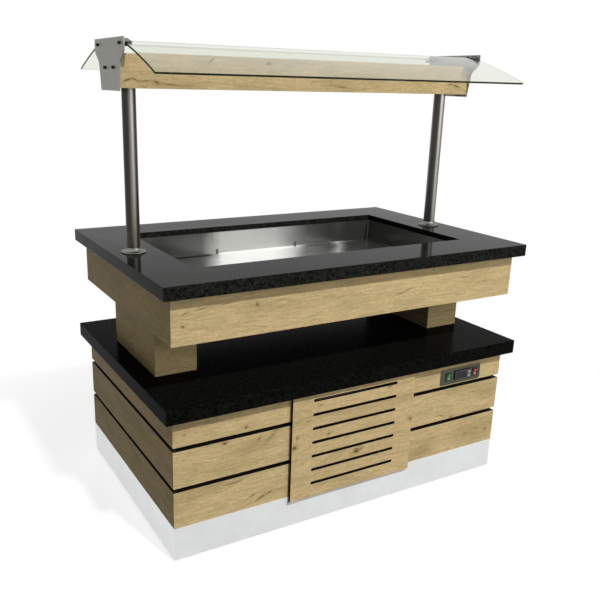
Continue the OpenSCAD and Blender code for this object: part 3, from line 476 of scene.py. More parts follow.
def oak(name, shift, face=0.0, flaws=(), stains=(), round_corners=True):
    """Oak-pattern laminate: its figure runs level round the corners, or else along X on every face"""
    light, dark, heart = shade_of("oak_light"), shade_of("oak_dark"), shade_of("oak_knot")
    brown = tuple((a * 2 + b) / 3 for a, b in zip(light, dark))
    olive = tuple(part * share for part, share in zip(brown, (0.84, 0.92, 0.86)))
    ring_count = 120.0
    material, tree = new_surface(name, Roughness=0.46, Specular_IOR_Level=0.03)
    place = object_space(tree, shift=shift)

    def grain(along, across, vector):
        return object_space(tree, (along, along if round_corners else across, across), vector=vector)

    sway = noise(tree, place, 3.1, 3, output="Color")
    swayed = times_plus(tree, sway, (0.03, 0.03, 0.05), place)
    figure = noise(tree, grain(1.5, 12, swayed), 1, 5, 0.62, 0.6)
    wood = ramp(tree, figure, (0.33, brown), (0.47, light), (0.54, light), (0.66, brown))
    patches = noise(tree, grain(4.5, 11, place), 1, 3, 0.6)
    wood = blend(tree, ramp(tree, patches, (0.52, 0.0), (0.66, 0.45)), wood, olive)

    rings = math_node(tree, "SINE", math_node(tree, "MULTIPLY", figure, ring_count))
    streaks = noise(tree, grain(13, 170, swayed), 1, 4, 0.68)
    mottle = noise(tree, grain(80, 130, place), 1, 3, 0.7)
    fibre = noise(tree, grain(26, 700, swayed), 1, 3, 0.7)
    for pattern, *stops in (
        (rings, (0.0, 1.0), (0.75, 0.97), (1.0, 0.9)),
        (streaks, (0.34, 0.84), (0.52, 1.0), (0.68, 1.09)),
        (mottle, (0.36, 0.9), (0.64, 1.07)),
        (fibre, (0.34, 0.82), (0.6, 1.04)),
    ):
        wood = multiplied(tree, wood, ramp(tree, pattern, *stops))

    checks = ramp(tree, noise(tree, grain(11, 95, swayed), 1, 4, 0.7), (0.63, 0.0), (0.7, 0.7))
    where = noise(tree, object_space(tree, (4, 4, 9), (3.1, 1.7, 0.4), place), 1, 1)
    checks = math_node(tree, "MULTIPLY", checks, ramp(tree, where, (0.52, 0.0), (0.62, 1.0)))
    wood = blend(tree, checks, wood, heart)

    fray = noise(tree, place, 110, 3, output="Color")
    for flaw in flaws:
        reach = reach_from(tree, flaw, face, place, shift, fray)
        wood = blend(tree, ramp(tree, reach, (0.25, 0.8), (0.55, 0.4), (0.95, 0.0)), wood, dark)
        wood = blend(tree, ramp(tree, reach, (0.12, 0.85), (0.42, 0.0)), wood, heart)
    for stain in stains:
        reach = reach_from(tree, stain, face, place, shift, fray)
        wood = blend(tree, ramp(tree, reach, (0.1, 0.55), (1.0, 0.0)), wood, dark)
    return finished(material, wood, (fibre, 0.4, 0.58), (fibre, 0.12, 0.2 * MM))


def reach_from(tree, spot, face, place, shift, fray):
    """0 at the middle of a spot on a face and about 1 at its frayed rim"""
    x, z, run, rise, lean = spot
    lean, fray_size = math.radians(lean), 0.9
    centre = Matrix.Rotation(lean, 3, "Y") @ (Vector((x, face, z)) + Vector(shift))
    inputs = {"Vector": place, "Rotation": (0, lean, 0), "Location": -centre}
    levelled = add(tree, "Mapping", inputs).outputs["Vector"]
    away = object_space(tree, (2 / run, 1 / run, 2 / rise), vector=levelled)
    centred = times_plus(tree, away, (1, 1, 1), (-fray_size / 2,) * 3)
    return distance(tree, times_plus(tree, fray, (fray_size,) * 3, centred))


def stone(name, gloss, specular, grain):
    """Polished near-black stone with fine crystals"""
    material, tree = new_surface(name, Specular_IOR_Level=specular)
    place = object_space(tree)
    crystals_per_metre = 480.0
    crystals = add(tree, "TexVoronoi", {"Vector": place, "Scale": crystals_per_metre}, feature="F1")
    sparks = ramp(tree, crystals.outputs["Color"], (0.62, 0.0), (0.95, 1.0))
    cloud = noise(tree, place, 150, 4, 0.7)
    specks = math_node(tree, "MULTIPLY", sparks, ramp(tree, cloud, (0.44, 0.0), (0.66, 1.0)))
    shade = shade_of("stone")
    cover = ramp(tree, cloud, (0.38, 0.0), (0.64, 1.0))
    ground = blend(tree, cover, scaled(shade, 0.15), scaled(shade, grain))
    tone = blend(tree, specks, ground, scaled(shade_of("stone_fleck"), grain / 2))
    return finished(material, tone, (cloud, *gloss), (cloud, 0.2 * grain, 0.25 * MM))


def brushed(name, shade, across, gloss=(0.24, 0.42), edge=0.45):
    """Metal brushed along one way: the scale is high across the strokes"""
    shade = shade_of(shade)
    tint = (edge, edge, edge * 0.96, 1)
    material, tree = new_surface(name, Base_Color=(*shade, 1), Metallic=1.0, Specular_Tint=tint)
    strokes = noise(tree, object_space(tree, across), 1, 4, 0.7)
    smudge = noise(tree, object_space(tree), 9, 3, 0.6)
    tone = blend(tree, strokes, scaled(shade, 0.86), scaled(shade, 1.1))
    tone = blend(tree, ramp(tree, smudge, (0.35, 0.35), (0.7, 0.0)), tone, scaled(shade, 0.72))
    return finished(material, tone, (strokes, *gloss), (strokes, 0.08, 0.1 * MM))


def post_steel(name):
    """Drawn tube: soft pale and dark painted reflections along it, three of each round its girth, set by the
    way the surface faces, and the left post darkened with painted shade
    """
    shade, rust, left_post_shade = shade_of("steel"), (0.3, 0.25, 0.19), (0.64, 0.63, 0.6)
    reflection_count, reflection_turn = 3.0, math.radians(2)
    material, tree = new_surface(name, Metallic=1.0)
    strokes = noise(tree, object_space(tree, (1500, 1500, 9)), 1, 4, 0.7)
    bands = noise(tree, object_space(tree, (60, 60, 1.2)), 1, 3, 0.6)
    stains = noise(tree, object_space(tree, (90, 90, 5), (0.2, 0.1, 0.6)), 1, 4, 0.65)
    # Painted reflection: bright and dark bands set by the way the surface faces, three round the girth,
    # whatever lamps fall on it
    way = add(tree, "SeparateXYZ", {0: add(tree, "TexCoord").outputs["Normal"]}).outputs
    angle = math_node(tree, "ARCTAN2", way["X"], math_node(tree, "MULTIPLY", way["Y"], -1.0))
    turn = math_node(tree, "ADD", angle, reflection_turn)
    reflection_wave = math_node(tree, "COSINE", math_node(tree, "MULTIPLY", turn, reflection_count))
    reflection_wave = spread(tree, reflection_wave, from_min=-1.0)
    light = ramp(tree, reflection_wave, (0.0, 0.15), (0.35, 0.15), (0.62, 0.25), (0.84, 0.56), (0.98, 0.9))
    tone = blend(tree, strokes, scaled(shade, 0.85), scaled(shade, 1.12))
    tone = multiplied(tree, tone, ramp(tree, bands, (0.35, 0.75), (0.65, 1.1)))
    tone = blend(tree, ramp(tree, stains, (0.48, 0.0), (0.7, 0.6)), tone, rust)
    # Painted shade: the left post is made darker than the right one
    left_post = math_node(tree, "LESS_THAN", part_of(tree, object_space(tree), "X"), 0.0)
    tone = blend(tree, left_post, tone, multiplied(tree, tone, left_post_shade))
    tone = multiplied(tree, tone, light)
    return finished(material, tone, (strokes, 0.24, 0.38), (strokes, 0.06, 0.1 * MM))


# Painted reflections on the well sheet from the left of the pan to the right, on its floor and on its walls:
# dark towards the ends, bright in the middle
FLOOR_REFLECTIONS = (
    (0.1, 0.07), (0.2, 0.035), (0.29, 0.06), (0.345, 0.9), (0.4, 1.0), (0.53, 1.0), (0.6, 0.72),
    (0.65, 0.16), (0.73, 0.14), (0.775, 0.6), (0.82, 0.16), (0.92, 0.12),
)
WALL_REFLECTIONS = (
    (0.05, 0.12), (0.13, 0.07), (0.26, 0.14), (0.33, 0.6), (0.52, 0.66), (0.61, 0.32),
    (0.7, 0.2), (0.76, 0.14), (0.9, 0.2),
)


def well_sheet(name):
    """Rolled stainless sheet with painted reflections: dull grey towards the ends and bright in the middle,
    where it is also less metallic
    """
    shade = shade_of("sheet")
    left_end, right_end, slant, waver = -0.52, 0.68, 0.65, 0.08
    rear_wall, floor_top = high("well_pan").y - 15 * MM, low("well_pan").z + 6 * MM
    material, tree = new_surface(name, Metallic=0.8)
    place = object_space(tree)
    rolled = noise(tree, object_space(tree, (6, 700, 700)), 1, 3, 0.6)
    waves = noise(tree, object_space(tree, (2.6, 5, 5)), 1, 1)
    marks = noise(tree, place, 26, 5, 0.75)
    blur = noise(tree, place, 7, 3)
    # Painted reflections: bands across the pan that slant back with the depth from the rear wall
    depth = math_node(tree, "SUBTRACT", rear_wall, part_of(tree, place, "Y"))
    along = math_node(tree, "ADD", part_of(tree, place, "X"), math_node(tree, "MULTIPLY", depth, slant))
    along = math_node(tree, "ADD", along, math_node(tree, "MULTIPLY", blur, waver))
    along = spread(tree, along, from_min=left_end, from_max=right_end)
    floor_reflection, wall_reflection = ramp(tree, along, *FLOOR_REFLECTIONS), ramp(tree, along, *WALL_REFLECTIONS)
    wall = math_node(tree, "GREATER_THAN", part_of(tree, place, "Z"), floor_top)
    tone = blend(tree, rolled, scaled(shade, 0.9), scaled(shade, 1.08))
    tone = blend(tree, ramp(tree, marks, (0.5, 0.0), (0.75, 0.25)), tone, scaled(shade, 0.7))
    tone = multiplied(tree, tone, blend(tree, wall, floor_reflection, wall_reflection))
    # Less metallic where the painted reflection is brightest, so the well lamp lights that strip diffusely
    reflection_metallic = ramp(tree, math_node(tree, "SUBTRACT", floor_reflection, wall), (0.3, 0.8), (0.9, 0.1))
    return finished(material, tone, (floor_reflection, 0.2, 0.5), (waves, 0.4, 4 * MM), reflection_metallic)


def coated(name, shade, rough=0.45, texture=0.05, grain=900, specular=0.5, metallic=0.0):
    """Paint, moulded plastic or rubber: fine grain and slightly uneven gloss"""
    shade = shade_of(shade)
    material, tree = new_surface(
        name, Base_Color=(*shade, 1), Metallic=metallic, Specular_IOR_Level=specular
    )
    place = object_space(tree)
    peel = noise(tree, place, grain, 2)
    wear = noise(tree, place, 14, 4, 0.65)
    tone = blend(tree, wear, scaled(shade, 0.88), scaled(shade, 1.08))
    return finished(material, tone, (wear, rough * 0.85, min(1, rough * 1.2)), (peel, texture, 0.15 * MM))


def foam(name):
    material, tree = new_surface(name, Roughness=0.85)
    cells = noise(tree, object_space(tree), 420, 3, 0.6)
    tone = blend(tree, cells, (0.55, 0.44, 0.2), (0.8, 0.7, 0.42))
    return finished(material, tone, relief=(cells, 0.4, 0.5 * MM))


def tube_metal(name, shade, stain):
    """Drawn tube or turned casting with its tarnish"""
    material, tree = new_surface(name, Metallic=1.0)
    tarnish = noise(tree, object_space(tree), 38, 4, 0.7)
    tone = blend(tree, ramp(tree, tarnish, (0.42, 0.0), (0.72, 0.8)), shade, stain)
    return finished(material, tone, (tarnish, 0.2, 0.42), (tarnish, 0.06, 0.1 * MM))


def clear_glass(name):
    tint = shade_of("glass")
    material, tree = new_surface(
        name, Base_Color=(*tint, 1), Transmission_Weight=1.0, IOR=1.3, Specular_IOR_Level=0.5
    )
    haze = noise(tree, object_space(tree), 6, 3, 0.6)
    smear = ramp(tree, haze, (0.55, 0.0), (0.85, 1.0))
    tone = blend(tree, smear, tint, scaled(tint, 0.97))
    return finished(material, tone, (smear, 0.0, 0.004), (haze, 0.004, 0.2 * MM))


def ground_glass(name):
    """Edge of the glass, dark because the light runs along inside it"""
    material, tree = new_surface(name, Roughness=0.5, Specular_IOR_Level=0.08)
    depth = noise(tree, object_space(tree), 60, 2)
    tone = blend(tree, depth, (0.006, 0.008, 0.004), (0.022, 0.026, 0.014))
    return finished(material, tone, relief=(depth, 0.1, 0.2 * MM))


def lit_plastic(name, shade):
    """Clear coloured plastic of a rocker, darker in its depth"""
    material, tree = new_surface(
        name, Roughness=0.3, Specular_IOR_Level=0.2, Coat_Weight=0.06, Coat_Roughness=0.12
    )
    ribs = noise(tree, object_space(tree, (140, 140, 140)), 1, 2)
    tone = blend(tree, ribs, scaled(shade, 0.55), scaled(shade, 1.5))
    return finished(material, tone, (ribs, 0.22, 0.38), (ribs, 0.1, 0.2 * MM))


def display_glass(name):
    """Smoked window with a few wipe marks"""
    material, tree = new_surface(name, Specular_IOR_Level=0.25)
    smoke = noise(tree, object_space(tree), 150, 2)
    tone = blend(tree, smoke, (0.004, 0.004, 0.005), (0.014, 0.012, 0.012))
    return finished(material, tone, (smoke, 0.06, 0.16), (smoke, 0.02, 0.1 * MM))


def opal(name):
    """Milky lamp cover with fine ribs along it"""
    material, tree = new_surface(name, Subsurface_Weight=0.1)
    ribs = noise(tree, object_space(tree, (3, 600, 3)), 1, 2)
    tone = blend(tree, ribs, (0.78, 0.78, 0.75), (0.86, 0.86, 0.84))
    return finished(material, tone, (ribs, 0.34, 0.48), (ribs, 0.15, 0.2 * MM))


FRONT = low("slats_front").y
DOOR_FACE = low("vent_door").y
BEAM_FACE = low("beam_casing").y
# Each knot and crack of a face: its X and Z, its length and height, and its lean in degrees
DOOR_FLAWS = (
    (-0.239, 0.290, 0.044, 0.038, 0), (-0.231, 0.322, 0.030, 0.018, 60),
    (0.224, 0.294, 0.040, 0.044, 70), (0.003, 0.225, 0.090, 0.044, 8),
    (-0.111, 0.312, 0.026, 0.014, 30), (0.125, 0.430, 0.060, 0.010, 14),
    (-0.145, 0.420, 0.050, 0.008, 10),
)
SLAT_FLAWS = (
    (-0.322, 0.342, 0.085, 0.009, 47), (-0.306, 0.350, 0.060, 0.008, 52),
    (-0.358, 0.347, 0.040, 0.016, 50), (-0.296, 0.361, 0.080, 0.008, 4),
    (-0.476, 0.358, 0.044, 0.022, 0), (-0.404, 0.394, 0.030, 0.018, 0),
    (-0.350, 0.140, 0.080, 0.014, 24), (-0.318, 0.150, 0.060, 0.010, 30),
    (-0.380, 0.155, 0.070, 0.010, 20), (0.426, 0.251, 0.030, 0.014, 8),
    (0.520, 0.330, 0.060, 0.008, -8), (0.505, 0.166, 0.034, 0.014, 20),
    (0.560, 0.176, 0.040, 0.010, -10), (0.606, 0.164, 0.030, 0.020, 0),
)
SLAT_STAINS = (
    (0.540, 0.176, 0.34, 0.13, 0), (0.300, 0.150, 0.20, 0.08, 6),
    (0.600, 0.320, 0.20, 0.06, 0), (-0.380, 0.330, 0.24, 0.06, 10),
)
FASCIA_FLAWS = (
    (-0.374, 0.776, 0.030, 0.022, 0), (-0.545, 0.784, 0.110, 0.006, 5),
    (-0.470, 0.790, 0.100, 0.006, 3), (-0.600, 0.776, 0.050, 0.006, 30),
    (0.150, 0.745, 0.090, 0.007, 10), (0.180, 0.754, 0.080, 0.006, 12),
    (-0.604, 0.740, 0.022, 0.016, 0), (0.420, 0.770, 0.100, 0.007, -4),
)
BEAM_FLAWS = (
    (-0.632, 1.380, 0.060, 0.011, 24), (-0.608, 1.382, 0.060, 0.009, -14),
    (-0.575, 1.379, 0.070, 0.007, 4), (-0.545, 1.376, 0.040, 0.022, -20),
    (-0.500, 1.370, 0.130, 0.007, -6), (0.600, 1.386, 0.070, 0.014, -14),
    (0.570, 1.392, 0.050, 0.009, 10), (-0.369, 1.440, 0.080, 0.012, 40),
    (-0.180, 1.436, 0.060, 0.018, 0), (0.100, 1.374, 0.120, 0.007, -5),
)

# Each finish: the function that makes it and what that function is given after the name
SURFACES = {
    "oak_slats": (oak, (0.3, 1.1, 0.7), FRONT, SLAT_FLAWS, SLAT_STAINS),
    "oak_door": (oak, (2.3, 0.4, 5.2), DOOR_FACE, DOOR_FLAWS),
    "oak_fascia": (oak, (5.1, 2.2, 1.9), FRONT, FASCIA_FLAWS),
    "oak_pedestals": (oak, (7.7, 3.9, 4.4)),
    "oak_beam": (oak, (9.2, 0.8, 3.3), BEAM_FACE, BEAM_FLAWS, (), False),
    "counter_stone": (stone, (0.04, 0.09), 0.0145, 2.4),
    "shelf_stone": (stone, (0.16, 0.26), 0.004, 0.9),
    "post_steel": (post_steel,),
    # Steel darker than the posts' own: a painted dim reflection on the flanges' tops
    "flange_steel": (brushed, (0.25, 0.25, 0.225), (40, 40, 900), (0.22, 0.36), 0.6),
    # Steel far darker than its own colour: painted shade from the shelf above it and a painted dark
    # reflection
    "plate_steel": (brushed, (0.09, 0.093, 0.068), (8, 900, 1500)),
    "tab_steel": (brushed, (0.42, 0.42, 0.4), (300, 300, 300)),
    "bracket_steel": (brushed, "bracket", (600, 5, 900), (0.34, 0.46), 0.8),
    "zinc": (brushed, (0.55, 0.56, 0.58), (120, 120, 120), (0.3, 0.5)),
    "fin_metal": (brushed, (0.68, 0.69, 0.7), (900, 900, 20), (0.3, 0.45)),
    "well_steel": (well_sheet,),
    "skirt_laminate": (coated, "skirt", 0.5, 0.02, 700, 0.3),
    # Black on the slats' upper and lower edges and on the door's sides and slot walls: painted shade that
    # keeps grooves and slots dark where these faces would catch light
    "edge_black": (coated, (0.006, 0.006, 0.005), 0.75, 0.05, 700, 0.1),
    "carcass_black": (coated, (0.008, 0.008, 0.008), 0.7, 0.03, 500, 0.2),
    "deck_grey": (coated, (0.2, 0.2, 0.2), 0.6, 0.04, 400),
    "frame_paint": (coated, (0.24, 0.24, 0.25), 0.5, 0.08, 800),
    "black_plastic": (coated, (0.012, 0.012, 0.013), 0.42, 0.12, 1600),
    "clip_black": (coated, (0.035, 0.035, 0.036), 0.36, 0.1, 1400),
    "screw_black": (coated, (0.018, 0.018, 0.02), 0.34, 0.05, 1500, 0.5, 0.6),
    "enamel_black": (coated, (0.01, 0.01, 0.011), 0.16, 0.05, 300),
    "wheel_rubber": (coated, (0.02, 0.02, 0.021), 0.72, 0.3, 700, 0.3),
    "button_grey": (coated, (0.3, 0.3, 0.3), 0.5, 0.1, 1500),
    "valve_red": (coated, (0.4, 0.02, 0.015), 0.3, 0.05, 600),
    "mark_ivory": (coated, (0.62, 0.6, 0.55), 0.5, 0.05, 900),
    "lit_edge": (coated, (0.66, 0.68, 0.62), 0.5, 0.05, 600, 0.1),
    "copper": (tube_metal, (0.72, 0.3, 0.16), (0.33, 0.14, 0.08)),
    "brass": (tube_metal, (0.72, 0.52, 0.22), (0.4, 0.28, 0.12)),
    "foam": (foam,),
    "clear_glass": (clear_glass,),
    "ground_glass": (ground_glass,),
    "rocker_green": (lit_plastic, (0.012, 0.1, 0.03)),
    "rocker_red": (lit_plastic, (0.22, 0.018, 0.02)),
    "display_glass": (display_glass,),
    "opal": (opal,),
}


def surface(name):
    """The named finish, made when it is first asked for

    The frame's materials are named for the record's slots, so a finish has a name of its own.
    """
    own = "finish_" + name
    make, *values = SURFACES[name]
    return bpy.data.materials.get(own) or make(own, *values)


# ---------------------------------------------------------------- operators


class SALADBAR_OT_stone(bpy.types.Operator):
    """Counter, its built-up edge and the lower shelf, with polished arrises"""

    bl_idname = "saladbar.stone"
    bl_label = "Stone Tops"

    def execute(self, context):
        arris = context.scene.salad_bar_sizes.stone_arris
        top, edge_low = high("counter_slab").z, low("counter_edges").z
        shelf_low, shelf_top = low("lower_shelf").z, high("lower_shelf").z
        rim_x, rim_y = high("counter_slab").x - MM, high("counter_slab").y - MM

        def outside(p):
            return abs(p.x) > rim_x or abs(p.y) > rim_y

        def under_edge(p):
            return outside(p) and p.z < edge_low + MM

        def round_shelf(p):
            return outside(p) and not shelf_low + MM <= p.z <= shelf_top - MM

        dress("counter_slab", "stone_counter", "counter_stone", arris, lambda p: p.z > top - MM, 3)
        dress("counter_edges", "stone_counter_edge", "counter_stone", arris, under_edge, 3)
        dress("lower_shelf", "stone_shelf", "shelf_stone", arris, round_shelf, 3)
        return {"FINISHED"}


class SALADBAR_OT_cladding(bpy.types.Operator):
    """Slats, fascia, skirt and pedestals in laminate, with the black carcass behind the grooves"""

    bl_idname = "saladbar.cladding"
    bl_label = "Cladding"

    def execute(self, context):
        arris = context.scene.salad_bar_sizes.board_arris
        # The slats' upper and lower edges are black: painted shade in the grooves
        shaded_black_edges = ("edge_black", lambda face: abs(face.normal.z) > 0.9)

        def level_edge(node):
            """Edges on the upper and lower faces, not the mitres"""
            corner_x, corner_y = high(node).x - MM, high(node).y - MM
            return lambda p: not (abs(p.x) > corner_x and abs(p.y) > corner_y)

        for node, finish, second in (
            ("slats_front", "oak_slats", shaded_black_edges),
            ("slats_rear", "oak_slats", shaded_black_edges),
            ("slats_ends", "oak_slats", shaded_black_edges),
            ("fascia_front", "oak_fascia", None),
            ("fascia_rear", "oak_fascia", None),
            ("fascia_ends", "oak_fascia", None),
            ("pedestals", "oak_pedestals", None),
            ("skirt_boards", "skirt_laminate", None),
        ):
            dress(node, node + "_finished", finish, arris, level_edge(node), second=second)
        for node in ("carcass_front", "carcass_rear", "carcass_ends", "underside_panel"):
            paint(node, "carcass_black")
        light_only("skirt_fill", "skirt_boards_finished")
        return {"FINISHED"}


class SALADBAR_OT_door(bpy.types.Operator):
    """Vent door with its slots, pivots, catch and strike plate"""

    bl_idname = "saladbar.door"
    bl_label = "Vent Door"

    def execute(self, context):
        sizes = context.scene.salad_bar_sizes
        front, back = low("vent_door").y, high("vent_door").y

        def on_faces(p):
            return p.y < front + MM / 10 or p.y > back - MM / 10

        # The door's side and slot faces are black: painted shade in the slots and beside the door
        slots = ("edge_black", lambda face: abs(face.normal.y) < 0.3)
        dress("vent_door", "door_board", "oak_door", sizes.board_arris, on_faces, second=slots)
        dress("door_pivots", "pivot_plates", "zinc", sizes.metal_arris * 0.6)
        dress("door_catch", "catch_block", "black_plastic", 1.2 * MM)
        self.strike(back)
        self.pivot_screws()
        return {"FINISHED"}

    def strike(self, back):
        """Thin plate on the door that the magnet holds"""
        thickness, inset = 0.4 * MM, Vector((MM, 0, 6 * MM))
        a, b = low("door_catch") + inset, high("door_catch") - inset
        strike = new_box("strike_plate", (a.x, back, a.z), (b.x, back + thickness, b.z))
        complete(ease_edges(strike, 0.15 * MM), "zinc", "door")

    def pivot_screws(self):
        """Two screws in the lower pivot plate"""
        plate = low("door_pivots")
        face, height = low("skirt_boards").y - 2 * MM, plate.z + 9 * MM
        screws = [round_screw((plate.x + x, face, height), 2.4 * MM) for x in (34 * MM, 45 * MM)]
        fittings("pivot_screws", screws, "zinc")


def round_screw(place, radius):
    """Pan head with a cross slot, facing the front"""
    profile = [(radius * r, radius * z) for r, z in ((1, 0), (0.98, 0.25), (0.8, 0.5), (0.4, 0.62))]
    head = turned("screw", profile, 24)
    for angle in (0, math.pi / 2):
        slot = new_box("slot", Vector((-0.6, -0.12, 0.35)) * radius, Vector((0.6, 0.12, 1)) * radius)
        cut_out(head, lay(slot, (0, 0, 0), (0, 0, angle)))
    return lay(head, place, TO_FRONT)


class SALADBAR_OT_controls(bpy.types.Operator):
    """Control plate, two rockers in their frames and the thermostat with its keys"""

    bl_idname = "saladbar.controls"
    bl_label = "Controls"

    def execute(self, context):
        dress("control_plate", "control_plate_finished", "plate_steel", 0.4 * MM)
        dress("switch_frames", "switch_bezels", "black_plastic", 0.35 * MM)
        dress("thermostat", "thermostat_case", "black_plastic", 0.6 * MM)
        for shade in ("green", "red"):
            dress("rocker_" + shade, shade + "_rocker", "rocker_" + shade, 0.5 * MM, segments=3)
            self.rocker_marks(shade)
        self.display()
        self.key("button_up", math.pi / 2)
        self.key("button_down", math.pi * 3 / 2)
        return {"FINISHED"}

    def rocker_marks(self, shade):
        """A bar on the proud half and a ring on the low half, the plain marks for on and off"""
        node = "rocker_" + shade
        x, face, pivot = middle(node).x, low(node).y, middle("control_plate").z
        tilt, bar_place, ring_place = math.radians(15.6), (1.6 * MM, 5.3 * MM), (3.3 * MM, -6.4 * MM)
        half = Vector((1.1, 0.3, 3.6)) * MM
        bar = ease_edges(new_box("bar", -half, half), 0.15 * MM)
        lay(bar, (x, face + bar_place[0], pivot + bar_place[1]), (tilt, 0, 0))
        ring = turned("ring", mm((4.1, 0), (4.1, 0.3), (2.7, 0.3), (2.7, 0)), 40, True)
        lay(ring, (x, face + ring_place[0], pivot + ring_place[1]), TO_FRONT)
        fittings(shade + "_rocker_marks", [bar, ring], "mark_ivory", BODY_OF[node])

    def display(self):
        """Smoked window in the recess, with two lamp dots"""
        face, height = low("thermostat").y, middle("thermostat").z
        left, right = low("thermostat").x + 5.3 * MM, low("button_up").x - 4.3 * MM
        half, dot_x = 10.7 * MM, left + 3 * MM
        window = new_box(
            "display_window", (left, face + 0.3 * MM, height - half), (right, face + 0.8 * MM, height + half)
        )
        complete(ease_edges(window, 0.15 * MM), "display_glass", CABINET)
        dots = [
            new_rod("dot", (dot_x, face + 0.1 * MM, z), (dot_x, face + 0.35 * MM, z), 0.9 * MM, 20)
            for z in (height + 6 * MM, height + MM)
        ]
        fittings("display_dots", dots, "rocker_red")

    def key(self, node, turn):
        """A key's cap, with an arrow that points the given way"""
        dress(node, node + "_cap", "button_grey", 0.5 * MM, segments=3)
        arrow = turned(node + "_arrow", mm((2.1, 0), (1.7, 0.25)), 3)
        lay(arrow, (0, 0, 0), (0, 0, turn))
        lay(arrow, (middle(node).x, low(node).y, middle(node).z), TO_FRONT)
        complete(arrow, "black_plastic", BODY_OF[node])


class SALADBAR_OT_well(bpy.types.Operator):
    """Well pan with folded corners, the drain, divider rests and what lies under the pan"""

    bl_idname = "saladbar.well"
    bl_label = "Cooled Well"

    def execute(self, context):
        sheet, fold = 1.5 * MM, context.scene.salad_bar_sizes.pan_fold
        floor = low("well_pan").z + sheet
        dress("well_pan", "well_pan_finished", "well_steel", fold, self.inner_folds(floor), 4)
        light_only("well_fill", "well_pan_finished")
        dress("drain_pipe", "drain_pipe_finished", "well_steel", 0.4 * MM, lambda p: p.z > floor)
        self.divider_rests(floor)
        paint("well_insulation", "foam")
        dress("evaporator_coil", "evaporator_tube", "copper")
        dress("refrigerant_lines", "line_tubes", "copper")
        return {"FINISHED"}

    def inner_folds(self, floor):
        """A test for the edges of the pan's inside below its rim, but for those round the drain"""
        flange, drain_from, drain_to, drain_half = 15.6 * MM, 20 * MM, 110 * MM, 40 * MM
        under, rim, centre_y = low("well_pan").z, low("counter_slab").z, middle("well_pan").y
        wall_x = high("well_pan").x - flange
        wall_y = high("well_pan").y - flange - centre_y

        def test(p):
            x, y = p.x + wall_x, abs(p.y - centre_y)
            inside = abs(p.x) < wall_x + MM / 2 and y < wall_y + MM / 2
            at_drain = drain_from < x < drain_to and y < drain_half and p.z < floor + MM
            return inside and under + MM < p.z < rim - MM / 2 and not at_drain

        return test

    def divider_rests(self, floor):
        """Small bent tabs at the foot of the walls that hold the pan dividers"""
        places, gap, deep, thick, tall = (-180 * MM, 160 * MM), 5 * MM, 6 * MM, 1.5 * MM, 20 * MM
        centre_y = middle("well_pan").y
        reach = high("well_pan").y - 15.5 * MM - centre_y
        tabs = []
        for x in places:
            for side in (-1, 1):
                near, far = sorted((centre_y + side * reach, centre_y + side * (reach - deep)))
                for left in (x - gap / 2 - thick / 2, x + gap / 2 - thick / 2):
                    tab = new_box("tab", (left, near, floor), (left + thick, far, floor + tall))
                    tabs.append(ease_edges(tab, 0.5 * MM))
        fittings("divider_rests", tabs, "tab_steel")


class SALADBAR_OT_posts(bpy.types.Operator):
    """Brushed posts on their bell flanges"""

    bl_idname = "saladbar.posts"
    bl_label = "Posts"

    def execute(self, context):
        dress("posts", "post_tubes", "post_steel")
        a, b = low("post_flanges"), high("post_flanges")
        foot = (b.y - a.y) / 2
        flange = turned("post_flange_left", self.bell(foot, b.z - a.z), 72, hollow=True)
        lay(flange, (a.x + foot, 0, a.z))
        other = copy_at(flange, "post_flange_right", (b.x - a.x - 2 * foot, 0, 0))
        both = joined("post_flanges_finished", [flange, other])
        complete(both, "flange_steel", CABINET, ("post_flanges",), 35)
        return {"FINISHED"}

    def bell(self, foot, rise):
        """Outline of a flange: a round rim, a hollow curve up to the collar, and the bore"""
        bore = (high("posts").y - low("posts").y) / 2 + 0.05 * MM
        collar, rim, break_edge = bore + 2.2 * MM, 4.2 * MM, 0.4 * MM
        round_rim = rim / 2
        curve_from = foot - 5 * MM
        profile = [(bore, 0), (foot - 1.2 * MM, 0)]
        for step in range(7):
            angle = -math.pi / 2 + math.pi * 0.9 * step / 6
            out = foot - round_rim + round_rim * math.cos(angle)
            profile.append((out, round_rim + round_rim * math.sin(angle)))
        for step in range(1, 11):
            angle = math.pi / 2 * step / 10
            out = collar + (curve_from - collar) * (1 - math.sin(angle))
            profile.append((out, rim - break_edge + (rise - rim) * (1 - math.cos(angle))))
        return profile + [(collar, rise - break_edge), (collar - 0.5 * MM, rise), (bore, rise)]


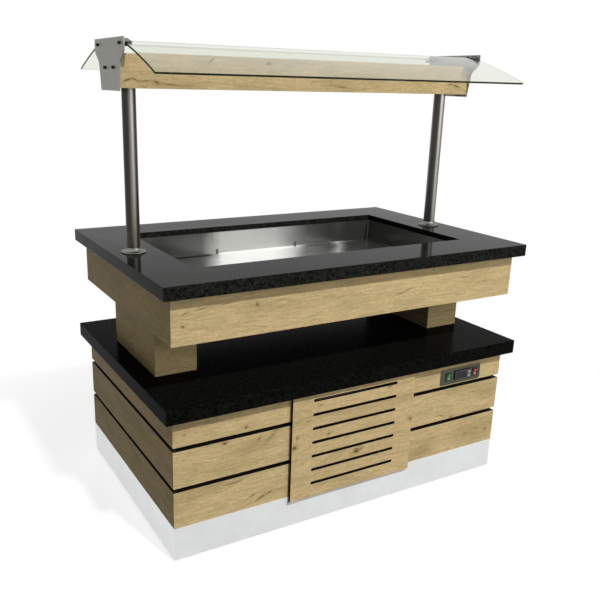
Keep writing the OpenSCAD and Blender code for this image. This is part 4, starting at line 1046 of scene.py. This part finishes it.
class SALADBAR_OT_canopy(bpy.types.Operator):
    """Beam, lamp, end brackets, screws, clips and the two bowed sheets of glass"""

    bl_idname = "saladbar.canopy"
    bl_label = "Canopy"

    def execute(self, context):
        sizes = context.scene.salad_bar_sizes
        front, back = low("beam_casing").y, high("beam_casing").y

        def on_sides(p):
            return min(abs(p.y - front), abs(p.y - back)) < MM / 2

        dress("beam_casing", "beam_boards", "oak_beam", sizes.board_arris, on_sides)
        dress("lamp", "lamp_batten", "opal", 0.8 * MM)
        dress("end_brackets", "bracket_plates", "bracket_steel", sizes.metal_arris)
        dress("glass_clips", "clip_jaws", "clip_black", 0.8 * MM)
        self.screws()
        self.glass("glass_front", "canopy_glass_front", -1, sizes.glass_arris)
        self.glass("glass_rear", "canopy_glass_rear", 1, sizes.glass_arris)
        return {"FINISHED"}

    def screws(self):
        """Button heads with a hexagon socket, on both brackets"""
        radius, lower_reach = 4.6 * MM, 38 * MM
        socket_radius, socket_depth = 2.6 * MM, 3.5 * MM
        shank_radius, shank_length, bracket = 3 * MM, 20 * MM, 3 * MM
        a, b = low("bracket_screws"), high("bracket_screws")
        face = high("end_brackets").x
        out = b.x - face
        dome = ((0, 1.1), (0.4, 0.35), (1.2, 0))
        profile = [(radius, 0)] + [(radius - inward * MM, out - down * MM) for inward, down in dome]
        model = turned("screw_head", profile, 32)
        cut_out(model, new_rod("socket", (0, 0, out - socket_depth), (0, 0, out + MM), socket_radius, 6))
        upper, lower, reach = b.z - radius, a.z + radius, b.y - radius
        places = ((-reach, upper), (reach, upper), (-lower_reach, lower), (lower_reach, lower))
        heads = []
        for side in (-1, 1):
            for y, z in places:
                head = copy_at(model, "head", (0, 0, 0))
                heads.append(lay(head, (side * face, y, z), (0, side * math.pi / 2, 0)))
                inner = face - bracket
                start, end = side * (inner - shank_length), side * (inner + MM)
                heads.append(new_rod("shank", (start, y, z), (end, y, z), shank_radius, 24))
        bpy.data.objects.remove(model)
        screws = joined("bracket_screws_finished", heads)
        complete(screws, "screw_black", CABINET, ("bracket_screws",))

    def glass(self, node, name, side, arris):
        """One sheet: a grid laid on the bow of the CAD sheet, thickened and ground along its edges"""
        thickness, rows, top = 6 * MM, 20, high(node).z
        line = self.bow(node, side, rows)
        sheet = added(name, "grid", x_subdivisions=8, y_subdivisions=rows, size=2)
        for vertex in sheet.data.vertices:
            y, z = line[round((vertex.co.y + 1) / 2 * rows)]
            half = (high(node).x - low(node).x) / 2
            vertex.co = Vector((middle(node).x + vertex.co.x * half, y, z))
        with editing(sheet):
            bpy.ops.mesh.normals_make_consistent(inside=False)
        if sheet.data.polygons[0].normal.z < 0:
            sheet.data.flip_normals()
        modify(sheet, "SOLIDIFY", thickness=thickness, offset=-1.0, use_even_offset=True)
        ease_edges(sheet, arris, segments=1, least_angle=45)
        for finish in ("clear_glass", "ground_glass", "lit_edge"):
            sheet.data.materials.append(surface(finish))
        for face in sheet.data.polygons:
            across = abs(face.normal.x) < 0.5 and abs(face.normal.z) < 0.75
            free_edge = side < 0 and across and face.normal.y < 0
            upper_edge = across and face.normal.y * side < 0 and face.center.z > top - 10 * MM
            face.material_index = 2 if upper_edge else 1 if face.normal.x < -0.5 or free_edge else 0
        sheet.visible_shadow = False
        complete(sheet, "clear_glass", CABINET, (node,), 20)

    def bow(self, node, side, steps):
        """Points of the sheet's upper line, from the clip to the free edge, fitted to the CAD mesh"""
        radius, near_end, per_metre = 1800 * MM, 4 * MM, 20000
        ends = {}
        for vertex in frame["nodes"][node].data.vertices:
            key = round(vertex.co.y * per_metre)
            ends[key] = max(ends.get(key, -1.0), vertex.co.z)
        line = sorted((abs(key) / per_metre, z) for key, z in ends.items())
        far = line[-1][0]
        first = Vector(max(line[:3], key=lambda p: p[1]))
        last = Vector(max((p for p in line if far - p[0] < near_end), key=lambda p: p[1]))
        run = last - first
        normal = Vector((run.y, -run.x)).normalized()
        if normal.y > 0:
            normal = -normal
        centre = (first + last) / 2 + normal * math.sqrt(radius**2 - (run.length / 2) ** 2)
        start = math.atan2(first.y - centre.y, first.x - centre.x)
        end = math.atan2(last.y - centre.y, last.x - centre.x)
        angles = [start + (end - start) * step / steps for step in range(steps + 1)]
        return [(side * (centre.x + radius * math.cos(a)), centre.y + radius * math.sin(a)) for a in angles]


class SALADBAR_OT_base(bpy.types.Operator):
    """Frames, deck and columns, and the casters with their bolts"""

    bl_idname = "saladbar.base"
    bl_label = "Base and Casters"

    def execute(self, context):
        for node in ("base_frame", "top_frame", "support_columns"):
            paint(node, "frame_paint")
        paint("base_deck", "deck_grey")
        dress("caster_plates", "caster_heads", "zinc", 0.5 * MM)
        for corner in CORNERS:
            dress("caster_fork_" + corner, "fork_" + corner, "zinc", 0.5 * MM)
            dress("caster_wheel_" + corner, "wheel_" + corner, "wheel_rubber", 1.2 * MM, segments=3)
            self.hub(corner)
        self.bolts()
        return {"FINISHED"}

    def hub(self, corner):
        """Pale disc of the hub on both sides of the tyre"""
        half_width = 8.6 * MM
        centre = middle("caster_wheel_" + corner)
        discs = []
        for side in (-1, 1):
            disc = turned("disc", mm((24.2, 0), (23.6, 0.9), (11.5, 0.9), (11.2, 0)), 48, True)
            face = centre.x + side * half_width
            discs.append(lay(disc, (face, centre.y, centre.z), (0, side * math.pi / 2, 0)))
        fittings("hub_" + corner, discs, "button_grey", "roller_" + corner)

    def bolts(self):
        """Four hexagon heads under each caster plate"""
        plate, spacing, king_pin = 4 * MM, 34 * MM, 30 * MM
        model = turned("bolt", mm((6.5, 0), (6.5, -4.6), (5.6, -5.2)), 6)
        z = low("base_frame").z - plate
        heads = []
        for fork in ("caster_fork_" + corner for corner in CORNERS):
            x, y = middle(fork).x, low(fork).y + king_pin
            for dx in (-spacing, spacing):
                for dy in (-spacing, spacing):
                    heads.append(copy_at(model, "bolt", (x + dx, y + dy, z)))
        bpy.data.objects.remove(model)
        fittings("caster_bolts", heads, "zinc")


class SALADBAR_OT_machine(bpy.types.Operator):
    """Condenser with its fins, fan with its guard, compressor and tray"""

    bl_idname = "saladbar.machine"
    bl_label = "Cooling Machine"

    def execute(self, context):
        sizes = context.scene.salad_bar_sizes
        dress("unit_tray", "machine_tray", "frame_paint", sizes.metal_arris)
        dress("fan_shroud", "shroud", "enamel_black", sizes.metal_arris)
        dress("fan_blade", "fan_rotor", "fin_metal", 0.3 * MM)
        self.condenser(sizes.fin_pitch)
        self.passes()
        self.guard(sizes.guard_rings)
        self.compressor()
        return {"FINISHED"}

    def condenser(self, pitch):
        """End plates, the rail over them and the row of fins between them"""
        plate_t, rail_t, fin_t, fin_inset = 2 * MM, 4 * MM, 0.35 * MM, 4 * MM
        a, b = low("condenser"), high("condenser")
        left, right = low("fan_shroud").x, high("fan_shroud").x
        parts = [new_box("plate", (x, a.y, a.z), (x + plate_t, b.y, b.z)) for x in (left - plate_t, right)]
        parts.append(new_box("rail", (left - plate_t, a.y, b.z - rail_t), (right + plate_t, b.y, b.z)))
        parts = [ease_edges(part, 0.4 * MM) for part in parts]
        fin_x = left + pitch / 2
        fin = new_box("fin", (fin_x, a.y + fin_inset, a.z), (fin_x + fin_t, b.y - fin_inset, b.z - rail_t))
        modify(
            fin,
            "ARRAY",
            count=int((right - left) / pitch),
            use_relative_offset=False,
            use_constant_offset=True,
            constant_offset_displace=(pitch, 0, 0),
        )
        core = joined("condenser_core", parts + [fin])
        complete(core, "fin_metal", CABINET, ("condenser",))

    def passes(self):
        """Copper passes through the fins, the bends that join them and the inlet stub"""
        first, pitch, radius, bend_radius = 36 * MM, 40 * MM, 4 * MM, 9 * MM
        stub_radius, stub_height, plate_t = 7 * MM, 210 * MM, 2 * MM
        foot, y = low("condenser"), middle("condenser").y
        left, bend_x = low("fan_shroud").x, high("fan_shroud").x + plate_t
        tubes = []
        for row in range(5):
            z = foot.z + first + pitch * row
            for side in (y - bend_radius, y + bend_radius):
                tubes.append(new_rod("pass", (left - 4 * MM, side, z), (bend_x, side, z), radius, 16))
            bend = new_ring("bend", (bend_x, y, z), (0, 0, 0), bend_radius, radius, 32, 12)
            with editing(bend):
                bpy.ops.mesh.bisect(plane_co=(bend_x, y, z), plane_no=(1, 0, 0), clear_inner=True)
            tubes.append(bend)
        z = foot.z + stub_height
        tubes.append(new_rod("stub", (foot.x, y, z), (left - plate_t, y, z), stub_radius, 24))
        fittings("condenser_tubes", tubes, "copper")

    def guard(self, count):
        """Wire rings on radial wires behind the fan ring"""
        inner, outer, wire, spoke, past = 36 * MM, 109 * MM, 1.1 * MM, 1.2 * MM, 3 * MM
        x, z = middle("fan_blade").x, middle("fan_blade").z
        back = low("fan_shroud").y + 50.5 * MM
        hub = Vector((x, back + 1.6 * MM, z))
        wires = []
        for index in range(count):
            radius = inner + (outer - inner) * index / (count - 1)
            wires.append(new_ring("wire", (x, back, z), TO_FRONT, radius, wire, 56, 8))
        for index in range(6):
            angle = math.pi * index / 3
            way = Vector((math.cos(angle), 0, math.sin(angle)))
            wires.append(new_rod("wire", hub + way * (inner - 2 * MM), hub + way * (outer + past), spoke, 8))
        fittings("fan_guard", wires, "black_plastic")

    def compressor(self):
        """Shell with its weld seam, on rubber feet"""
        cover, seam_height, seam_out, seam_radius = 34 * MM, 118 * MM, 0.4 * MM, 1.8 * MM
        dress("compressor", "compressor_shell", "enamel_black", 1.5 * MM, segments=3)
        a, b = low("compressor"), high("compressor")
        radius = (b.y - a.y) / 2
        foot = Vector((b.x - cover - radius, (a.y + b.y) / 2, a.z))
        seam_place = foot + Vector((0, 0, seam_height))
        seam = new_ring("shell_seam", seam_place, (0, 0, 0), radius + seam_out, seam_radius, 96, 8)
        complete(seam, "enamel_black", CABINET)
        grommets = []
        for angle in (45, 135, 225, 315):
            way = Vector((math.cos(math.radians(angle)), math.sin(math.radians(angle)), 0))
            grommet = turned("grommet", mm((13, 0), (14, 2), (14, 7), (12, 9)), 32)
            grommets.append(lay(grommet, foot + way * radius * 0.72))
        fittings("compressor_feet", grommets, "wheel_rubber")


class SALADBAR_OT_rear(bpy.types.Operator):
    """Drain valve with its handle and hose barbs, and the power inlet"""

    bl_idname = "saladbar.rear"
    bl_label = "Rear Fittings"

    def execute(self, context):
        dress("drain_valve", "valve_body", "brass", 0.8 * MM)
        dress("valve_handle", "valve_lever", "valve_red", 1.2 * MM, segments=3)
        dress("power_inlet", "inlet_case", "black_plastic", 0.5 * MM)
        self.barbs()
        self.nut()
        self.inlet_screws()
        return {"FINISHED"}

    def barbs(self):
        """Three saw-tooth rings on the outlet stub"""
        first, pitch, height = -16.5 * MM, 5 * MM, 14 * MM
        x, end, z = middle("drain_valve").x, high("drain_valve").y, low("drain_valve").z + height
        rings = []
        for index in range(3):
            ring = turned("barb", mm((9.4, 0), (10.2, 0.4), (9.4, 3.6), (9.0, 1.5)), 40, True)
            rings.append(lay(ring, (x, end + first + index * pitch, z), TO_REAR))
        fittings("hose_barbs", rings, "brass")

    def nut(self):
        """Hexagon nut that holds the lever on its stem"""
        place = middle("valve_handle")
        nut = turned("lever_nut", mm((4.6, 0), (4.6, 2.4), (3.9, 3.0)), 6)
        lay(nut, (place.x, place.y, high("valve_handle").z))
        complete(nut, "zinc", "drain_handle")

    def inlet_screws(self):
        """A round head at each end of the inlet"""
        inset = 4.5 * MM
        a, b = low("power_inlet"), high("power_inlet")
        screws = []
        for x in (a.x + inset, b.x - inset):
            head = turned("head", mm((3, 0), (2.9, 0.6), (1.8, 1.3)), 24)
            screws.append(lay(head, (x, b.y, (a.z + b.z) / 2), TO_REAR))
        fittings("inlet_screws", screws, "zinc")


class SALADBAR_OT_stage(bpy.types.Operator):
    """Camera, key and fill light, sky and floor"""

    bl_idname = "saladbar.stage"
    bl_label = "Studio"

    # The camera, solved from corners of the photograph: its angles in radians, its place in metres,
    # its focal length and the middle of its view in pixels
    azimuth = 0.52255
    elevation = -0.29752
    roll = 0.0250
    eye = (-1.3349, -2.16293, 1.3830)
    focal_pixels = 732.52
    axis_pixel = (273.72, 307.33)
    frame_pixels = 600

    # Distances at which the floor starts and ends its fade into the background
    fade_from = 0.9
    fade_to = 1.9
    floor_radius = 9
    floor_lift = 0.82

    def execute(self, context):
        studio = context.scene.salad_bar_studio
        self.camera()
        self.sky(studio.ambient)
        self.floor(studio.floor)
        self.lamps(studio)
        context.scene.view_settings.view_transform = "Standard"
        return {"FINISHED"}

    def camera(self):
        """Looks along the measured direction, with the photograph's axis kept by the lens shift"""
        data = bpy.data.cameras.new("photo_camera")
        camera = bpy.data.objects.new("photo_camera", data)
        bpy.context.scene.collection.objects.link(camera)
        level = math.cos(self.elevation)
        ahead = Vector(
            (math.sin(self.azimuth) * level, math.cos(self.azimuth) * level, math.sin(self.elevation))
        )
        right = ahead.cross(Vector((0, 0, 1))).normalized()
        up = right.cross(ahead)
        tilt_right = right * math.cos(self.roll) + up * math.sin(self.roll)
        tilt_up = up * math.cos(self.roll) - right * math.sin(self.roll)
        turn = Matrix((tilt_right, tilt_up, -ahead)).transposed().to_4x4()
        camera.matrix_world = Matrix.Translation(self.eye) @ turn
        data.sensor_width = 36
        data.lens = self.focal_pixels / self.frame_pixels * data.sensor_width
        half = self.frame_pixels / 2
        data.shift_x = (half - self.axis_pixel[0]) / self.frame_pixels
        data.shift_y = (self.axis_pixel[1] - half) / self.frame_pixels
        data.clip_end = 100
        bpy.context.scene.camera = camera

    def seen_rays(self, tree):
        """1 for the rays that show the background: from the camera, a mirror or glass

        A ray that has met a matt surface on its way finds the plain sky instead.
        """
        path = add(tree, "LightPath").outputs
        seen = math_node(tree, "MAXIMUM", path["Is Camera Ray"], path["Is Glossy Ray"])
        seen = math_node(tree, "MAXIMUM", seen, path["Is Transmission Ray"])
        return math_node(tree, "MULTIPLY", seen, math_node(tree, "LESS_THAN", path["Diffuse Depth"], 0.5))

    def sky(self, ambient):
        world = bpy.data.worlds.new("studio_sky")
        world.use_nodes = True
        bpy.context.scene.world = world
        tree = world.node_tree
        tree.nodes.clear()
        dim = add(tree, "Background", {"Color": (1, 1, 1, 1), "Strength": ambient})
        white = add(tree, "Background", {"Color": (1, 1, 1, 1), "Strength": 1.0})
        both = add(tree, "MixShader", {0: self.seen_rays(tree), 1: dim.outputs[0], 2: white.outputs[0]})
        add(tree, "OutputWorld", {"Surface": both.outputs[0]})

    def floor(self, shade):
        """Pale floor that fades into the white background and keeps the shadow"""
        floor = added("studio_floor", "circle", vertices=96, radius=self.floor_radius, fill_type="NGON")
        material = bpy.data.materials.new("studio_floor")
        material.use_nodes = True
        tree = material.node_tree
        tree.nodes.clear()
        seen = self.seen_rays(tree)
        matt = add(tree, "BsdfDiffuse", {"Color": (*shade, 1)})
        lift = add(tree, "Emission", {"Color": (1, 1, 1, 1), "Strength": self.floor_lift})
        shown = add(tree, "AddShader", {0: matt.outputs[0], 1: lift.outputs[0]})
        near = add(tree, "MixShader", {0: seen, 1: matt.outputs[0], 2: shown.outputs[0]})
        far = add(tree, "Emission", {"Color": (1, 1, 1, 1), "Strength": 1.0})
        ends = {"From Min": self.fade_from, "From Max": self.fade_to}
        reach = {"Value": distance(tree, object_space(tree)), **ends}
        fade = add(tree, "MapRange", reach, interpolation_type="SMOOTHSTEP").outputs["Result"]
        fade = math_node(tree, "MULTIPLY", fade, seen)
        cover = add(tree, "MixShader", {0: fade, 1: near.outputs[0], 2: far.outputs[0]})
        add(tree, "OutputMaterial", {"Surface": cover.outputs[0]})
        floor.data.materials.append(material)

    def lamps(self, studio):
        """A high key from the front right, a low broad fill in front, and three soft fills"""
        place, aim = Vector((1.3, -3.4, 1.7)), Vector((0, 0, 0.6))
        self.sun("key", studio.key, (0.22, -1.0, 1.2), 3)
        fill = self.lamp("fill", "AREA", studio.fill, place - aim)
        fill.data.shape = "RECTANGLE"
        fill.data.size, fill.data.size_y = 3.0, 1.6
        fill.location = place
        fill.visible_camera = False
        self.sun("rear_fill", studio.rear, (0.35, 1.0, 0.35), 12)
        self.sun("skirt_fill", studio.skirt, (-1.0, -0.12, 0.22), 2)
        self.sun("well_fill", studio.well, (0.0, -0.2, 1.0), 2)

    def sun(self, name, power, way, width):
        """A sun some degrees wide, without a mirror image"""
        sun = self.lamp(name, "SUN", power, way)
        sun.data.angle = math.radians(width)
        sun.visible_glossy = False

    def lamp(self, name, kind, power, way):
        """A lamp that shines from the given way

        The glass casts no shadow, so no lamp shines through it a second time as transmitted light.
        """
        lamp = bpy.data.objects.new(name, bpy.data.lights.new(name, kind))
        lamp.data.energy = power
        lamp.rotation_euler = Vector(way).to_track_quat("Z", "Y").to_euler()
        lamp.visible_transmission = False
        bpy.context.scene.collection.objects.link(lamp)
        return lamp


STEPS = (
    SALADBAR_OT_stage,
    SALADBAR_OT_stone,
    SALADBAR_OT_cladding,
    SALADBAR_OT_door,
    SALADBAR_OT_controls,
    SALADBAR_OT_well,
    SALADBAR_OT_posts,
    SALADBAR_OT_canopy,
    SALADBAR_OT_base,
    SALADBAR_OT_machine,
    SALADBAR_OT_rear,
)
GROUPS = {
    "salad_bar_sizes": SaladBarSizes,
    "salad_bar_colours": SaladBarColours,
    "salad_bar_studio": SaladBarStudio,
}


class SALADBAR_PT_panel(bpy.types.Panel):
    """Lists the steps and their sizes"""

    bl_idname = "SALADBAR_PT_panel"
    bl_label = "Salad Bar"
    bl_space_type = "VIEW_3D"
    bl_region_type = "UI"
    bl_category = "Salad Bar"

    def draw(self, context):
        layout = self.layout
        for name in GROUPS:
            group = getattr(context.scene, name)
            box = layout.box()
            for value in group.__annotations__:
                box.prop(group, value)
        for step in STEPS:
            layout.operator(step.bl_idname, text=step.bl_label)


def register():
    for name, group in GROUPS.items():
        bpy.utils.register_class(group)
        setattr(bpy.types.Scene, name, PointerProperty(type=group))
    for step in (*STEPS, SALADBAR_PT_panel):
        bpy.utils.register_class(step)


def unregister():
    for step in (SALADBAR_PT_panel, *reversed(STEPS)):
        bpy.utils.unregister_class(step)
    for name, group in reversed(GROUPS.items()):
        delattr(bpy.types.Scene, name)
        bpy.utils.unregister_class(group)


def main():
    register()
    for step in STEPS:
        family, name = step.bl_idname.split(".")
        getattr(getattr(bpy.ops, family), name)()


if __name__ == "__main__":
    main()
